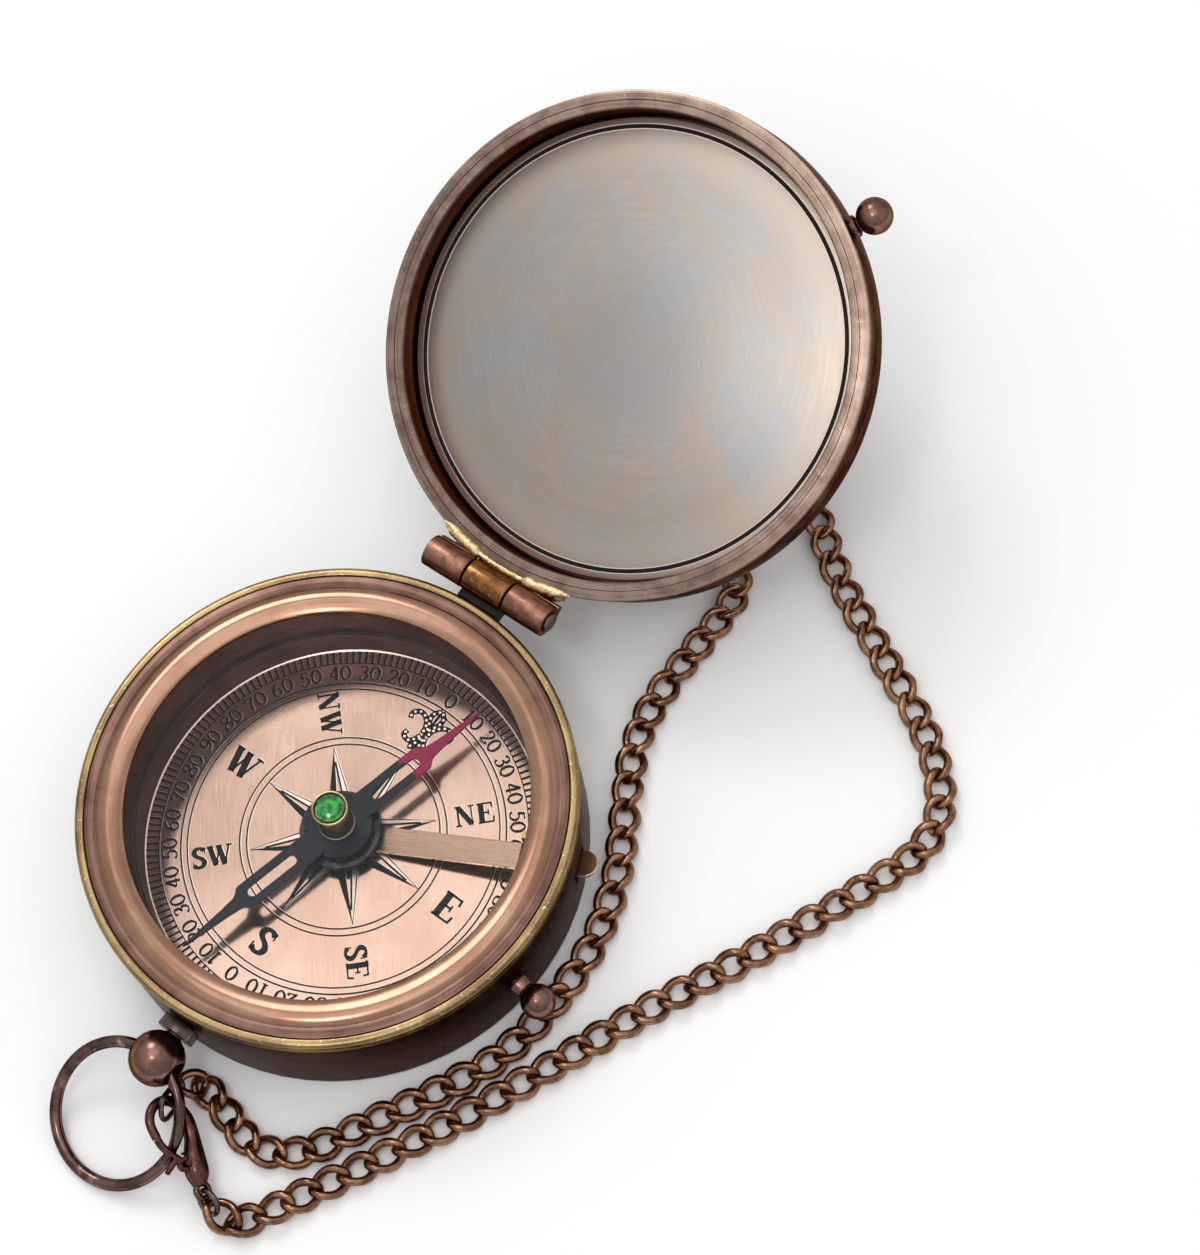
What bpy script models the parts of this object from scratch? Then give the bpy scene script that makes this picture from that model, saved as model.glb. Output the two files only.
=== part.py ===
"""Pocket magnetic compass with a hinged lid, a needle lock lever, a bow ring and a curb chain.

The case stands on z = 0 with its axis on Z. The lid hinge is at +X, the bow at -X. Lengths are in metres.
"""

import math

import bmesh
import bpy
from mathutils import Matrix, Vector

MM = 0.001

# Clearances
SEAT_GAP = 0.3 * MM
PIN_GAP = 0.1 * MM
WELD_INSET = 0.02 * MM
SHARP_EDGE_DEG = 40.0

# Case: a spun shell, a brass band round its mouth, and a liner that holds the dial and the glass
CASE_RADIUS = 24.9 * MM
CASE_WALL = 0.9 * MM
CASE_FLOOR = 1.0 * MM
CASE_EDGE = 0.6 * MM
BAND_STEP = 0.1 * MM
BAND_WIDTH = 0.9 * MM
BAND_HEIGHT = 1.5 * MM
BAND_ROUND = 0.35 * MM
LINER_WALL = 1.0 * MM
LINER_DROP = 0.15 * MM

# Dial, spacer, glass and bezel, from the floor up
DIAL_THICKNESS = 1.2 * MM
SPACER_WALL = 2.1 * MM
SPACER_STEP = 0.45 * MM
SPACER_STEP_HEIGHT = 3.6 * MM
GLASS_THICKNESS = 0.7 * MM
BEZEL_WIDTH = 2.2 * MM
BEZEL_LIP = 0.45 * MM
BEZEL_CROWN = 0.2 * MM

# Needle and pivot
POST_FOOT_RADIUS = 1.7 * MM
POST_FOOT_HEIGHT = 0.6 * MM
POST_RADIUS = 0.8 * MM
POST_TIP = 0.12 * MM
POST_CONE = 1.3 * MM
NEEDLE_NORTH_LENGTH = 18.5 * MM
NEEDLE_SOUTH_LENGTH = 19.4 * MM
NEEDLE_THICKNESS = 0.4 * MM
NEEDLE_HUB_RADIUS = 3.5 * MM
NEEDLE_GLASS_CLEARANCE = 0.65 * MM
NEEDLE_ARM_ROOT = 2.8 * MM
NEEDLE_ARM_WIDTH = 2.8 * MM
NEEDLE_BAR_WIDTH = 0.85 * MM
NEEDLE_SLOT_LENGTH = 5.9 * MM
NEEDLE_SHOULDER = 7.6 * MM
NEEDLE_SHOULDER_FALL = 0.8 * MM
NEEDLE_NECK_WIDTH = 1.35 * MM
NEEDLE_HEADING_DEG = -15.5
CAP_RADIUS = 1.7 * MM
CAP_FLANGE_RADIUS = 2.2 * MM
CAP_FLANGE_HEIGHT = 0.3 * MM
CAP_HEIGHT = 3.21 * MM
CAP_BORE_RADIUS = 1.1 * MM
CAP_ROOF = 0.6 * MM
SETTING_RADIUS = 1.85 * MM
SETTING_HEIGHT = 0.9 * MM
SETTING_WALL = 0.28 * MM
SETTING_FLOOR = 0.3 * MM
JEWEL_RISE = 0.25 * MM
JEWEL_TABLE_RADIUS = 0.8 * MM
JEWEL_FACETS = 10

# Lock lever: a strip that falls from its tab outside the case, over a pin near the wall, to the dial's middle
LEVER_ANGLE_DEG = -66.5
LEVER_FALL_DEG = 8.5
LEVER_WIDTH = 2.7 * MM
LEVER_THICKNESS = 0.5 * MM
LEVER_RISE = 0.35 * MM
LEVER_PIVOT_INSET = 1.0 * MM
LEVER_INNER_REACH = 2.9 * MM
LEVER_TAB = 1.9 * MM
LEVER_SLOT_PLAY = 0.4 * MM
LEVER_BOSS_RADIUS = 0.65 * MM
LEVER_PIN_RADIUS = 0.3 * MM
LIFT_RING_RADIUS = 4.15 * MM
LIFT_RING_BORE = 1.9 * MM
LIFT_RING_THICKNESS = 0.5 * MM
LIFT_STROKE = 1.1 * MM
BRACKET_WALL = 0.7 * MM
BRACKET_DEPTH = 1.4 * MM
BRACKET_BASE = 0.5 * MM

# Hinge
HINGE_CLEARANCE = 0.475 * MM
HINGE_DROP = 0.05 * MM
KNUCKLE_RADIUS = 1.525 * MM
KNUCKLE_MIDDLE = 4.6 * MM
KNUCKLE_OUTER = 4.75 * MM
HINGE_PIN_RADIUS = 0.65 * MM
HINGE_PIN_HEAD_RADIUS = 1.15 * MM
HINGE_PIN_HEAD = 0.4 * MM
CASE_WEB_DEPTH = 3.0 * MM
LID_OPEN_DEG = 153.7

# Lid: a shallow dish with a plain inner plate
LID_OVERHANG = 0.4 * MM
LID_RIM = 1.9 * MM
LID_HEIGHT = 5.6 * MM
LID_BACK = 0.9 * MM
LID_EDGE = 1.0 * MM
LID_RECESS = 3.2 * MM
LID_PLATE_THICKNESS = 0.8 * MM
LID_LEAF_LENGTH = 13.4 * MM
LID_LEAF_WIDTH = 0.75 * MM
LID_LEAF_RISE = 1.75 * MM
LID_LEAF_HEIGHT = 1.6 * MM

# Thumb knobs on the case and on the lid
KNOB_STAND_OFF = 2.5 * MM
KNOB_STEM_RADIUS = 0.75 * MM
KNOB_COLLAR_RADIUS = 1.15 * MM
KNOB_COLLAR = 0.7 * MM
CASE_KNOB_RADIUS = 1.75 * MM
CASE_KNOB_ANGLE_DEG = -97.8
LID_KNOB_RADIUS = 1.85 * MM
LID_KNOB_ANGLE_DEG = -145.6
LID_KNOB_RISE = 2.5 * MM

# Bow: a ball on a stem, and a wire ring through the ball
BOW_HEIGHT = 6.5 * MM
BOW_BALL_RADIUS = 2.8 * MM
BOW_STEM_RADIUS = 0.8 * MM
BOW_COLLAR = 1.0 * MM
BOW_COLLAR_RADIUS = 1.65 * MM
BOW_RING_RADIUS = 6.95 * MM
BOW_WIRE_RADIUS = 0.6 * MM
BOW_BORE_THROAT = 0.85 * MM
BOW_BORE_MOUTH = 1.55 * MM
BOW_YAW_DEG = -8.0
TABLE_CLEARANCE = 0.05 * MM

# Lobster clasp, hooked round the bow ring
CLASP_RING_ANGLE_DEG = 70.0
CLASP_RING_SEAT = 1.05 * MM
CLASP_TAIL_DIRECTION = (-0.43, -0.816, -0.386)
CLASP_FACE_DIRECTION = (0.40, -0.55, 0.73)
CLASP_HALF_WIDTH = 1.95 * MM
CLASP_CROWN = 0.9 * MM
CLASP_HOOK_WIRE = 0.45 * MM
CLASP_CROWN_WIRE = 0.55 * MM
CLASP_SPINE_WIRE = 0.75 * MM
CLASP_BELLY_WIRE = 1.15 * MM
CLASP_BELLY = 5.0 * MM
CLASP_LUG_REACH = 6.7 * MM
CLASP_LUG_RADIUS = 1.0 * MM
CLASP_LUG_HALF = 0.45 * MM
CLASP_LUG_BORE = 0.45 * MM
CLASP_PIVOT_REACH = 3.6 * MM
CLASP_PIVOT_SIDE = 0.45 * MM
CLASP_EAR_RADIUS = 0.95 * MM
CLASP_EAR_HALF = 0.85 * MM
CLASP_PIN_RADIUS = 0.3 * MM
GATE_WIRE = 0.4 * MM
GATE_EYE_RADIUS = 0.7 * MM
GATE_EYE_HALF = 0.36 * MM
GATE_THUMB_REACH = 2.2 * MM
SPRING_WIRE = 0.12 * MM
SPRING_ROUTE_MM = ((-0.4, -0.84), (0.3, -0.86), (0.85, -0.6), (1.05, -0.2))
JUMP_RING_RADIUS = 1.25 * MM
JUMP_RING_WIRE = 0.28 * MM

# End link between the hook's crown and the chain's last link
END_LINK_FROM_BALL_MM = (-0.5, -2.5, -4.12)
END_LINK_SEAT_MM = (1.91, 0.54, 0.5)
END_LINK_HALF_WIDTH = 1.3 * MM
END_LINK_WIRE = 0.27 * MM
END_LINK_FACE_DIRECTION = (-0.42, 0.9, -0.125)

# Curb chain
CHAIN_WIRE = 0.85 * MM
CHAIN_LINK_WIDTH = 3.4 * MM
CHAIN_PITCH = 2.6 * MM
CHAIN_BITE = 0.1 * MM
CHAIN_TWIST_DEG = 45.0
CHAIN_RUN_LINKS = 15
CHAIN_RUN_GAP = 0.2 * MM
CHAIN_ROUTE_MM = (
    (-37.3, -11.95, 1.75),
    (-38.4, -13.4, 1.15),
    (-37.2, -14.9, 1.0),
    (-34.6, -16.6, 1.0),
    (-31.1, -18.6, 1.0),
    (-23.6, -22.9, 1.0),
    (-14.9, -27.6, 1.0),
    (3.1, -36.0, 1.0),
    (12.6, -41.0, 1.0),
    (29.5, -48.6, 1.0),
    (34.6, -48.9, 1.0),
    (38.8, -46.2, 1.0),
    (42.4, -41.9, 1.0),
    (46.9, -33.8, 1.0),
    (51.9, -25.2, 1.0),
    (56.9, -19.2, 1.0),
    (59.2, -14.5, 1.0),
    (57.0, -10.2, 1.0),
    (52.0, -10.0, 1.0),
    (48.4, -14.2, 1.0),
    (44.9, -17.9, 1.0),
    (38.4, -17.9, 1.0),
    (31.3, -17.6, 1.0),
    (25.4, -18.4, 1.0),
    (19.2, -21.4, 1.0),
    (13.0, -24.9, 1.0),
    (5.6, -27.3, 1.0),
    (-2.0, -27.6, 1.0),
    (-9.6, -26.3, 1.0),
    (-16.6, -22.8, 1.0),
    (-23.0, -19.0, 1.0),
    (-28.3, -15.8, 1.0),
    (-30.4, -11.8, 1.0),
    (-29.7, -8.8, 1.0),
    (-28.7, -6.2, 1.0),
    (-28.0, -4.2, 0.95),
    (-27.8, -3.1, 0.8),
    (-28.35, -2.85, 1.2),
    (-29.15, -2.7, 2.1),
    (-30.05, -2.62, 3.14),
)


def clear_scene():
    for obj in list(bpy.data.objects):
        bpy.data.objects.remove(obj, do_unlink=True)


def material(name, colour, roughness, metallic=1.0):
    mat = bpy.data.materials.new(name)
    mat.use_nodes = True
    shader = mat.node_tree.nodes["Principled BSDF"]
    shader.inputs["Base Color"].default_value = (*colour, 1.0)
    shader.inputs["Roughness"].default_value = roughness
    shader.inputs["Metallic"].default_value = metallic
    return mat


def placed(name, mesh, mat, parent=None, matrix=None):
    """Puts a mesh in the scene; matrix is its place under the parent."""
    obj = bpy.data.objects.new(name, mesh)
    obj.data.materials.append(mat)
    bpy.context.scene.collection.objects.link(obj)
    obj.parent = parent
    if matrix is not None:
        obj.matrix_local = matrix
    mesh.shade_smooth()
    mesh.set_sharp_from_angle(angle=math.radians(SHARP_EDGE_DEG))
    return obj


def joint_empty(name, matrix, parent=None):
    empty = bpy.data.objects.new(name, None)
    bpy.context.scene.collection.objects.link(empty)
    empty.parent = parent
    empty.matrix_local = matrix
    return empty


def finished(bm, name="shape"):
    bmesh.ops.recalc_face_normals(bm, faces=bm.faces)
    mesh = bpy.data.meshes.new(name)
    bm.to_mesh(mesh)
    bm.free()
    return mesh


def turned(profile, segments):
    """Revolves (radius, height) points about Z; points on the axis become poles."""
    bm = bmesh.new()
    rings = []
    for radius, height in profile:
        steps = segments if radius > 0 else 1
        angles = (2 * math.pi * k / steps for k in range(steps))
        rings.append([bm.verts.new((radius * math.cos(a), radius * math.sin(a), height)) for a in angles])
    for ring, following in zip(rings, rings[1:] + rings[:1]):
        if len(ring) == 1 and len(following) == 1:
            continue
        for k in range(segments):
            n = (k + 1) % segments
            corners = (ring[k % len(ring)], ring[n % len(ring)])
            corners += (following[n % len(following)], following[k % len(following)])
            bm.faces.new(list(dict.fromkeys(corners)))
    return finished(bm)


def cylinder(radius, low, high, segments):
    return extruded(arc((0, 0), radius, 0, 360 - 360 / segments, segments - 1), low, high)


def swept(points, radii, sides, closed=False, reference=None):
    """Sweeps a round wire of varying radius along points.

    The section turns with the reference direction, or with the way out from the middle of a closed path.
    """
    bm = bmesh.new()
    points = [Vector(p) for p in points]
    count = len(points)
    middle = sum(points, Vector()) / count
    rings = []
    for k, (point, radius) in enumerate(zip(points, radii)):
        ahead = points[(k + 1) % count] if closed or k + 1 < count else point
        behind = points[k - 1] if closed or k > 0 else point
        along = (ahead - behind).normalized()
        aside = Vector(reference) if reference else point - middle
        aside = (aside - aside.project(along)).normalized()
        across = along.cross(aside)
        ring = []
        for n in range(sides):
            a = 2 * math.pi * n / sides
            ring.append(bm.verts.new(point + radius * (math.cos(a) * aside + math.sin(a) * across)))
        rings.append(ring)
    pairs = list(zip(rings, rings[1:]))
    if closed:
        pairs.append((rings[-1], rings[0]))
    for ring, following in pairs:
        for n in range(sides):
            m = (n + 1) % sides
            bm.faces.new((ring[n], ring[m], following[m], following[n]))
    if not closed:
        bm.faces.new(rings[0])
        bm.faces.new(rings[-1])
    return finished(bm)


def extruded(outline, low, high):
    """Raises a closed outline of (x, y) points from z = low to z = high."""
    bm = bmesh.new()
    base = bm.faces.new([bm.verts.new((x, y, low)) for x, y in outline])
    raised = bmesh.ops.extrude_face_region(bm, geom=[base])["geom"]
    top = [v for v in raised if isinstance(v, bmesh.types.BMVert)]
    bmesh.ops.translate(bm, verts=top, vec=(0, 0, high - low))
    return finished(bm)


def block(low, high):
    """An axis-aligned box between two corners."""
    (x0, y0, z0), (x1, y1, z1) = low, high
    return extruded(((x0, y0), (x1, y0), (x1, y1), (x0, y1)), z0, z1)


def arc(centre, radius, start_deg, end_deg, steps):
    """Points on an arc, both ends included."""
    points = []
    for k in range(steps + 1):
        a = math.radians(start_deg + (end_deg - start_deg) * k / steps)
        points.append((centre[0] + radius * math.cos(a), centre[1] + radius * math.sin(a)))
    return points


def helper(name, mesh, parent=None, matrix=None):
    """A cutter or an adder: hidden from the render and drawn as wire."""
    obj = placed(name, mesh, WIRE_GUIDE, parent, matrix)
    obj.hide_render = True
    obj.display_type = "WIRE"
    return obj


def boolean(obj, tool, operation):
    modifier = obj.modifiers.new(tool.name, "BOOLEAN")
    modifier.operation = operation
    modifier.solver = "EXACT"
    modifier.object = tool


def turn_z(degrees):
    return Matrix.Rotation(math.radians(degrees), 4, "Z")


def radial(degrees, height):
    """A frame whose Z points out from the case axis at this bearing and height."""
    tip = Matrix.Rotation(math.radians(90), 4, "Y")
    return turn_z(degrees) @ Matrix.Translation((0, 0, height)) @ tip


# Places worked out from the driving dimensions
SHELL_BORE = CASE_RADIUS - CASE_WALL
BAND_RADIUS = CASE_RADIUS + BAND_STEP
BAND_BORE = BAND_RADIUS - BAND_WIDTH
LINER_RADIUS = SHELL_BORE - SEAT_GAP
LINER_BORE = LINER_RADIUS - LINER_WALL
DIAL_BOTTOM = CASE_FLOOR + SEAT_GAP
DIAL_TOP = DIAL_BOTTOM + DIAL_THICKNESS
DIAL_RADIUS = LINER_BORE - SEAT_GAP
SPACER_BORE = LINER_BORE - SEAT_GAP - SPACER_WALL
BEZEL_INNER_RADIUS = LINER_BORE - SEAT_GAP - BEZEL_WIDTH
LEVER_FALL = math.radians(LEVER_FALL_DEG)
LEVER_HALF = LEVER_THICKNESS / 2 / math.cos(LEVER_FALL)
LEVER_PIVOT_RADIUS = SPACER_BORE - LEVER_PIVOT_INSET
LEVER_INNER_DROP = (LEVER_PIVOT_RADIUS - LEVER_INNER_REACH) * math.tan(LEVER_FALL)
LEVER_PIN_HEIGHT = DIAL_TOP + LEVER_RISE + LEVER_HALF + LEVER_INNER_DROP
LIFT_RING_DROP = (LEVER_PIVOT_RADIUS - LIFT_RING_RADIUS) * math.tan(LEVER_FALL)
LIFT_RING_BOTTOM = LEVER_PIN_HEIGHT - LIFT_RING_DROP + LEVER_HALF + SEAT_GAP
LIFT_RING_TOP = LIFT_RING_BOTTOM + LIFT_RING_THICKNESS
NEEDLE_HEIGHT = LIFT_RING_TOP + LIFT_STROKE + PIN_GAP
NEEDLE_TOP = NEEDLE_HEIGHT + NEEDLE_THICKNESS
CAP_BOTTOM = NEEDLE_TOP + SEAT_GAP
CAP_TOP = CAP_BOTTOM + CAP_HEIGHT
SETTING_BOTTOM = CAP_TOP + SEAT_GAP
SETTING_TOP = SETTING_BOTTOM + SETTING_HEIGHT
GLASS_BOTTOM = SETTING_TOP + JEWEL_RISE + NEEDLE_GLASS_CLEARANCE
GLASS_TOP = GLASS_BOTTOM + GLASS_THICKNESS
SPACER_BOTTOM = DIAL_TOP + SEAT_GAP
SPACER_TOP = GLASS_BOTTOM - SEAT_GAP
CASE_HEIGHT = GLASS_TOP + SEAT_GAP + BEZEL_LIP
LEVER_TAB_REACH = CASE_RADIUS + LEVER_TAB
LID_RADIUS = BAND_RADIUS + LID_OVERHANG
LID_MOUTH = CASE_HEIGHT + SEAT_GAP
LID_TOP = LID_MOUTH + LID_HEIGHT
LID_BORE = LID_RADIUS - LID_RIM
HINGE_DISTANCE = LID_RADIUS + KNUCKLE_RADIUS + HINGE_CLEARANCE
HINGE_HEIGHT = CASE_HEIGHT - HINGE_DROP
HINGE_HALF = KNUCKLE_MIDDLE / 2 + SEAT_GAP + KNUCKLE_OUTER
KNOB_REACH = LID_RADIUS + KNOB_STAND_OFF
BOW_BALL_REACH = CASE_RADIUS + SEAT_GAP + BOW_COLLAR + PIN_GAP + BOW_BALL_RADIUS

clear_scene()
WIRE_GUIDE = material("guide", (0.5, 0.5, 0.5), 0.5, 0.0)
DARK_COPPER = material("dark_copper", (0.10, 0.055, 0.04), 0.42)
COPPER = material("copper", (0.62, 0.33, 0.22), 0.3)
DIAL_COPPER = material("dial_copper", (0.72, 0.45, 0.34), 0.35)
BRASS = material("worn_brass", (0.72, 0.52, 0.22), 0.35)
MAUVE = material("mauve_copper", (0.30, 0.21, 0.20), 0.45)
SILVER = material("patina_silver", (0.52, 0.50, 0.47), 0.38)
BLACK_STEEL = material("black_steel", (0.03, 0.03, 0.035), 0.35)
BOW_STEEL = material("coppered_steel", (0.36, 0.25, 0.20), 0.25)
CHAIN_COPPER = material("antique_copper", (0.30, 0.17, 0.09), 0.38)
GLASS = material("clear_glass", (0.95, 0.97, 0.97), 0.03, 0.0)
GREEN_STONE = material("green_stone", (0.02, 0.42, 0.06), 0.05, 0.0)


# Case
def case_parts():
    rounding = arc((CASE_RADIUS - CASE_EDGE, CASE_EDGE), CASE_EDGE, -90, 0, 3)
    shell_top = CASE_HEIGHT - BAND_HEIGHT - SEAT_GAP
    profile = [(0, 0)] + rounding
    profile += [(CASE_RADIUS, shell_top), (SHELL_BORE, shell_top), (SHELL_BORE, CASE_FLOOR), (0, CASE_FLOOR)]
    shell = placed("case_body", turned(profile, 64), DARK_COPPER)

    crest = arc((BAND_RADIUS - BAND_ROUND, CASE_HEIGHT - BAND_ROUND), BAND_ROUND, 0, 90, 3)
    low = CASE_HEIGHT - BAND_HEIGHT
    band = [(BAND_BORE, low), (BAND_RADIUS, low)] + crest + [(BAND_BORE, CASE_HEIGHT)]
    placed("rim_band", turned(band, 64), BRASS)

    top = CASE_HEIGHT - LINER_DROP
    liner = [(LINER_BORE, DIAL_BOTTOM), (LINER_RADIUS, DIAL_BOTTOM), (LINER_RADIUS, top), (LINER_BORE, top)]
    tube = placed("case_liner", turned(liner, 64), MAUVE)
    return shell, tube


def dial_parts():
    bore = POST_RADIUS + SEAT_GAP
    dial = [(bore, DIAL_BOTTOM), (DIAL_RADIUS, DIAL_BOTTOM), (DIAL_RADIUS, DIAL_TOP), (bore, DIAL_TOP)]
    placed("dial_plate", turned(dial, 48), DIAL_COPPER)

    outer = LINER_BORE - SEAT_GAP
    inner = SPACER_BORE
    step = SPACER_BOTTOM + SPACER_STEP_HEIGHT
    spacer = [(inner, SPACER_BOTTOM), (outer, SPACER_BOTTOM), (outer, SPACER_TOP)]
    spacer += [(inner + SPACER_STEP, SPACER_TOP), (inner + SPACER_STEP, step), (inner, step)]
    ring = placed("spacer_ring", turned(spacer, 48), DARK_COPPER)

    glass = [(0, GLASS_BOTTOM), (outer, GLASS_BOTTOM), (outer, GLASS_TOP), (0, GLASS_TOP)]
    placed("crystal", turned(glass, 48), GLASS)

    bottom = GLASS_TOP + SEAT_GAP
    width = outer - BEZEL_INNER_RADIUS
    bezel = [(BEZEL_INNER_RADIUS, bottom), (outer, bottom), (outer, CASE_HEIGHT)]
    for k in range(1, 5):
        swell = math.sin(math.pi * k / 5)
        bezel.append((outer - width * k / 5, CASE_HEIGHT + BEZEL_CROWN * swell))
    bezel.append((BEZEL_INNER_RADIUS, CASE_HEIGHT - LINER_DROP))
    placed("bezel_ring", turned(bezel, 64), COPPER)
    return ring


# Needle
def needle_outline(length):
    """One arm from the hub out: a broad slotted bar, a shoulder and a slender head."""
    half = NEEDLE_ARM_WIDTH / 2
    shoulder = length - NEEDLE_SHOULDER
    neck = shoulder + NEEDLE_SHOULDER_FALL
    side = [(NEEDLE_ARM_ROOT, half), (shoulder, half), (neck, NEEDLE_NECK_WIDTH / 2), (length, POST_TIP)]
    return side + [(x, -y) for x, y in reversed(side)]


def needle_blade(parent):
    north = needle_outline(NEEDLE_NORTH_LENGTH)
    south = needle_outline(NEEDLE_SOUTH_LENGTH)
    bore = CAP_BORE_RADIUS
    hub = [(bore, NEEDLE_HEIGHT), (NEEDLE_HUB_RADIUS, NEEDLE_HEIGHT)]
    hub += [(NEEDLE_HUB_RADIUS, NEEDLE_TOP), (bore, NEEDLE_TOP)]
    blade = placed("needle_blade", turned(hub, 32), BLACK_STEEL, parent)
    low = NEEDLE_HEIGHT + WELD_INSET
    high = NEEDLE_TOP - WELD_INSET
    for side, outline in (("north", north), ("south", south)):
        facing = turn_z(0 if side == "north" else 180)
        arm = helper("needle_arm_" + side, extruded(outline, low, high), parent, facing)
        boolean(blade, arm, "UNION")
    slot_half = NEEDLE_ARM_WIDTH / 2 - NEEDLE_BAR_WIDTH
    below = NEEDLE_HEIGHT - SEAT_GAP
    above = NEEDLE_TOP + SEAT_GAP
    for side, length in (("north", NEEDLE_NORTH_LENGTH), ("south", NEEDLE_SOUTH_LENGTH)):
        facing = turn_z(0 if side == "north" else 180)
        slot_high = length - NEEDLE_SHOULDER - slot_half
        slot_low = slot_high - NEEDLE_SLOT_LENGTH
        slot = block((slot_low, -slot_half, below), (slot_high, slot_half, above))
        boolean(blade, helper("needle_slot_" + side, slot, parent, facing), "DIFFERENCE")


def needle_parts(parent):
    needle_blade(parent)

    roof = CAP_TOP - CAP_ROOF
    flange = CAP_BOTTOM + CAP_FLANGE_HEIGHT
    cap = [(CAP_BORE_RADIUS, CAP_BOTTOM), (CAP_FLANGE_RADIUS, CAP_BOTTOM), (CAP_FLANGE_RADIUS, flange)]
    cap += [(CAP_RADIUS, flange), (CAP_RADIUS, CAP_TOP), (0, CAP_TOP), (0, roof), (CAP_BORE_RADIUS, roof)]
    placed("needle_cap", turned(cap, 24), BRASS, parent)

    well = SETTING_RADIUS - SETTING_WALL
    floor = SETTING_BOTTOM + SETTING_FLOOR
    cup = [(0, SETTING_BOTTOM), (SETTING_RADIUS, SETTING_BOTTOM), (SETTING_RADIUS, SETTING_TOP)]
    cup += [(well, SETTING_TOP), (well, floor), (0, floor)]
    placed("jewel_setting", turned(cup, 24), BRASS, parent)

    girdle = well - PIN_GAP
    base = floor + SEAT_GAP
    stone = [(0, base), (girdle, base), (girdle, SETTING_TOP - PIN_GAP)]
    stone += [(JEWEL_TABLE_RADIUS, SETTING_TOP + JEWEL_RISE), (0, SETTING_TOP + JEWEL_RISE)]
    placed("jewel", turned(stone, JEWEL_FACETS), GREEN_STONE, parent)


def pivot_post():
    foot = DIAL_TOP + SEAT_GAP
    shoulder = foot + POST_FOOT_HEIGHT
    tip = CAP_TOP - CAP_ROOF - SEAT_GAP
    post = [(0, foot), (POST_FOOT_RADIUS, foot), (POST_FOOT_RADIUS, shoulder), (POST_RADIUS, shoulder)]
    post += [(POST_RADIUS, tip - POST_CONE), (POST_TIP, tip), (0, tip)]
    placed("pivot_post", turned(post, 20), BRASS)


# Lock lever
def lever_parts(frame, shell, tube, ring):
    """The frame has X pointing out from the case axis, with its origin on the rocking pin."""
    lever = joint_empty("lever_axis", frame @ Matrix.Rotation(-LEVER_FALL, 4, "Y"))
    half = LEVER_WIDTH / 2
    flat = LEVER_THICKNESS / 2
    start = (LEVER_INNER_REACH - LEVER_PIVOT_RADIUS) / math.cos(LEVER_FALL)
    tab_centre = (LEVER_TAB_REACH - LEVER_PIVOT_RADIUS) / math.cos(LEVER_FALL) - half
    outline = [(start, -half)] + arc((tab_centre, 0), half, -90, 90, 8) + [(start, half)]
    strip = placed("lock_lever", extruded(outline, -flat, flat), BRASS, lever)

    lying = Matrix.Rotation(math.radians(90), 4, "X")
    boss = cylinder(LEVER_BOSS_RADIUS, -half, half, 16)
    boolean(strip, helper("lever_boss", boss, lever, lying), "UNION")
    far = half + SEAT_GAP
    bore = cylinder(LEVER_PIN_RADIUS + PIN_GAP, -far, far, 16)
    boolean(strip, helper("lever_bore", bore, lever, lying), "DIFFERENCE")

    cheek = half + SEAT_GAP
    reach = cheek + BRACKET_WALL
    pin = cylinder(LEVER_PIN_RADIUS, -reach, reach, 16)
    placed("lever_pin", pin, BLACK_STEEL, None, frame @ lying)

    depth = BRACKET_DEPTH / 2
    floor = DIAL_TOP + SEAT_GAP - LEVER_PIN_HEIGHT
    rise = LEVER_PIN_RADIUS + BRACKET_BASE
    cup = block((-depth, -reach, floor), (depth, reach, rise))
    bracket = placed("lever_bracket", cup, BRASS, None, frame)
    gap = block((-BRACKET_DEPTH, -cheek, floor + BRACKET_BASE), (BRACKET_DEPTH, cheek, rise + BRACKET_BASE))
    boolean(bracket, helper("bracket_gap", gap, None, frame), "DIFFERENCE")
    wide = reach + SEAT_GAP
    eye = cylinder(LEVER_PIN_RADIUS + PIN_GAP, -wide, wide, 16)
    boolean(bracket, helper("bracket_eye", eye, None, frame @ lying), "DIFFERENCE")

    collar = [(LIFT_RING_BORE, LIFT_RING_BOTTOM), (LIFT_RING_RADIUS, LIFT_RING_BOTTOM)]
    collar += [(LIFT_RING_RADIUS, LIFT_RING_TOP), (LIFT_RING_BORE, LIFT_RING_TOP)]
    placed("lifting_ring", turned(collar, 32), BLACK_STEEL)

    slot_half = half + LEVER_SLOT_PLAY
    slot_low = LEVER_PIN_HEIGHT - LEVER_HALF - SEAT_GAP
    slot_high = slot_low + (CASE_RADIUS - LEVER_PIVOT_RADIUS) * math.tan(LEVER_FALL)
    window = block(
        (LEVER_PIVOT_RADIUS + BRACKET_DEPTH / 2, -slot_half, slot_low),
        (CASE_RADIUS + CASE_WALL, slot_half, slot_high + LEVER_THICKNESS + 2 * SEAT_GAP),
    )
    cutter = helper("lever_window", window, None, turn_z(LEVER_ANGLE_DEG))
    for wall in (shell, tube, ring):
        boolean(wall, cutter, "DIFFERENCE")


# Hinge and lid
def knuckle(low, high):
    """A bored barrel along Y between two places on the hinge line."""
    bore = HINGE_PIN_RADIUS + PIN_GAP
    barrel = turned([(bore, low), (KNUCKLE_RADIUS, low), (KNUCKLE_RADIUS, high), (bore, high)], 24)
    barrel.transform(Matrix.Rotation(math.radians(-90), 4, "X"))
    return barrel


def wall_cutter(name, radius, parent=None, matrix=None):
    """A tall plain cylinder round the case axis."""
    tall = CASE_HEIGHT + LID_HEIGHT
    return helper(name, cylinder(radius, -tall, 2 * tall, 64), parent, matrix)


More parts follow.
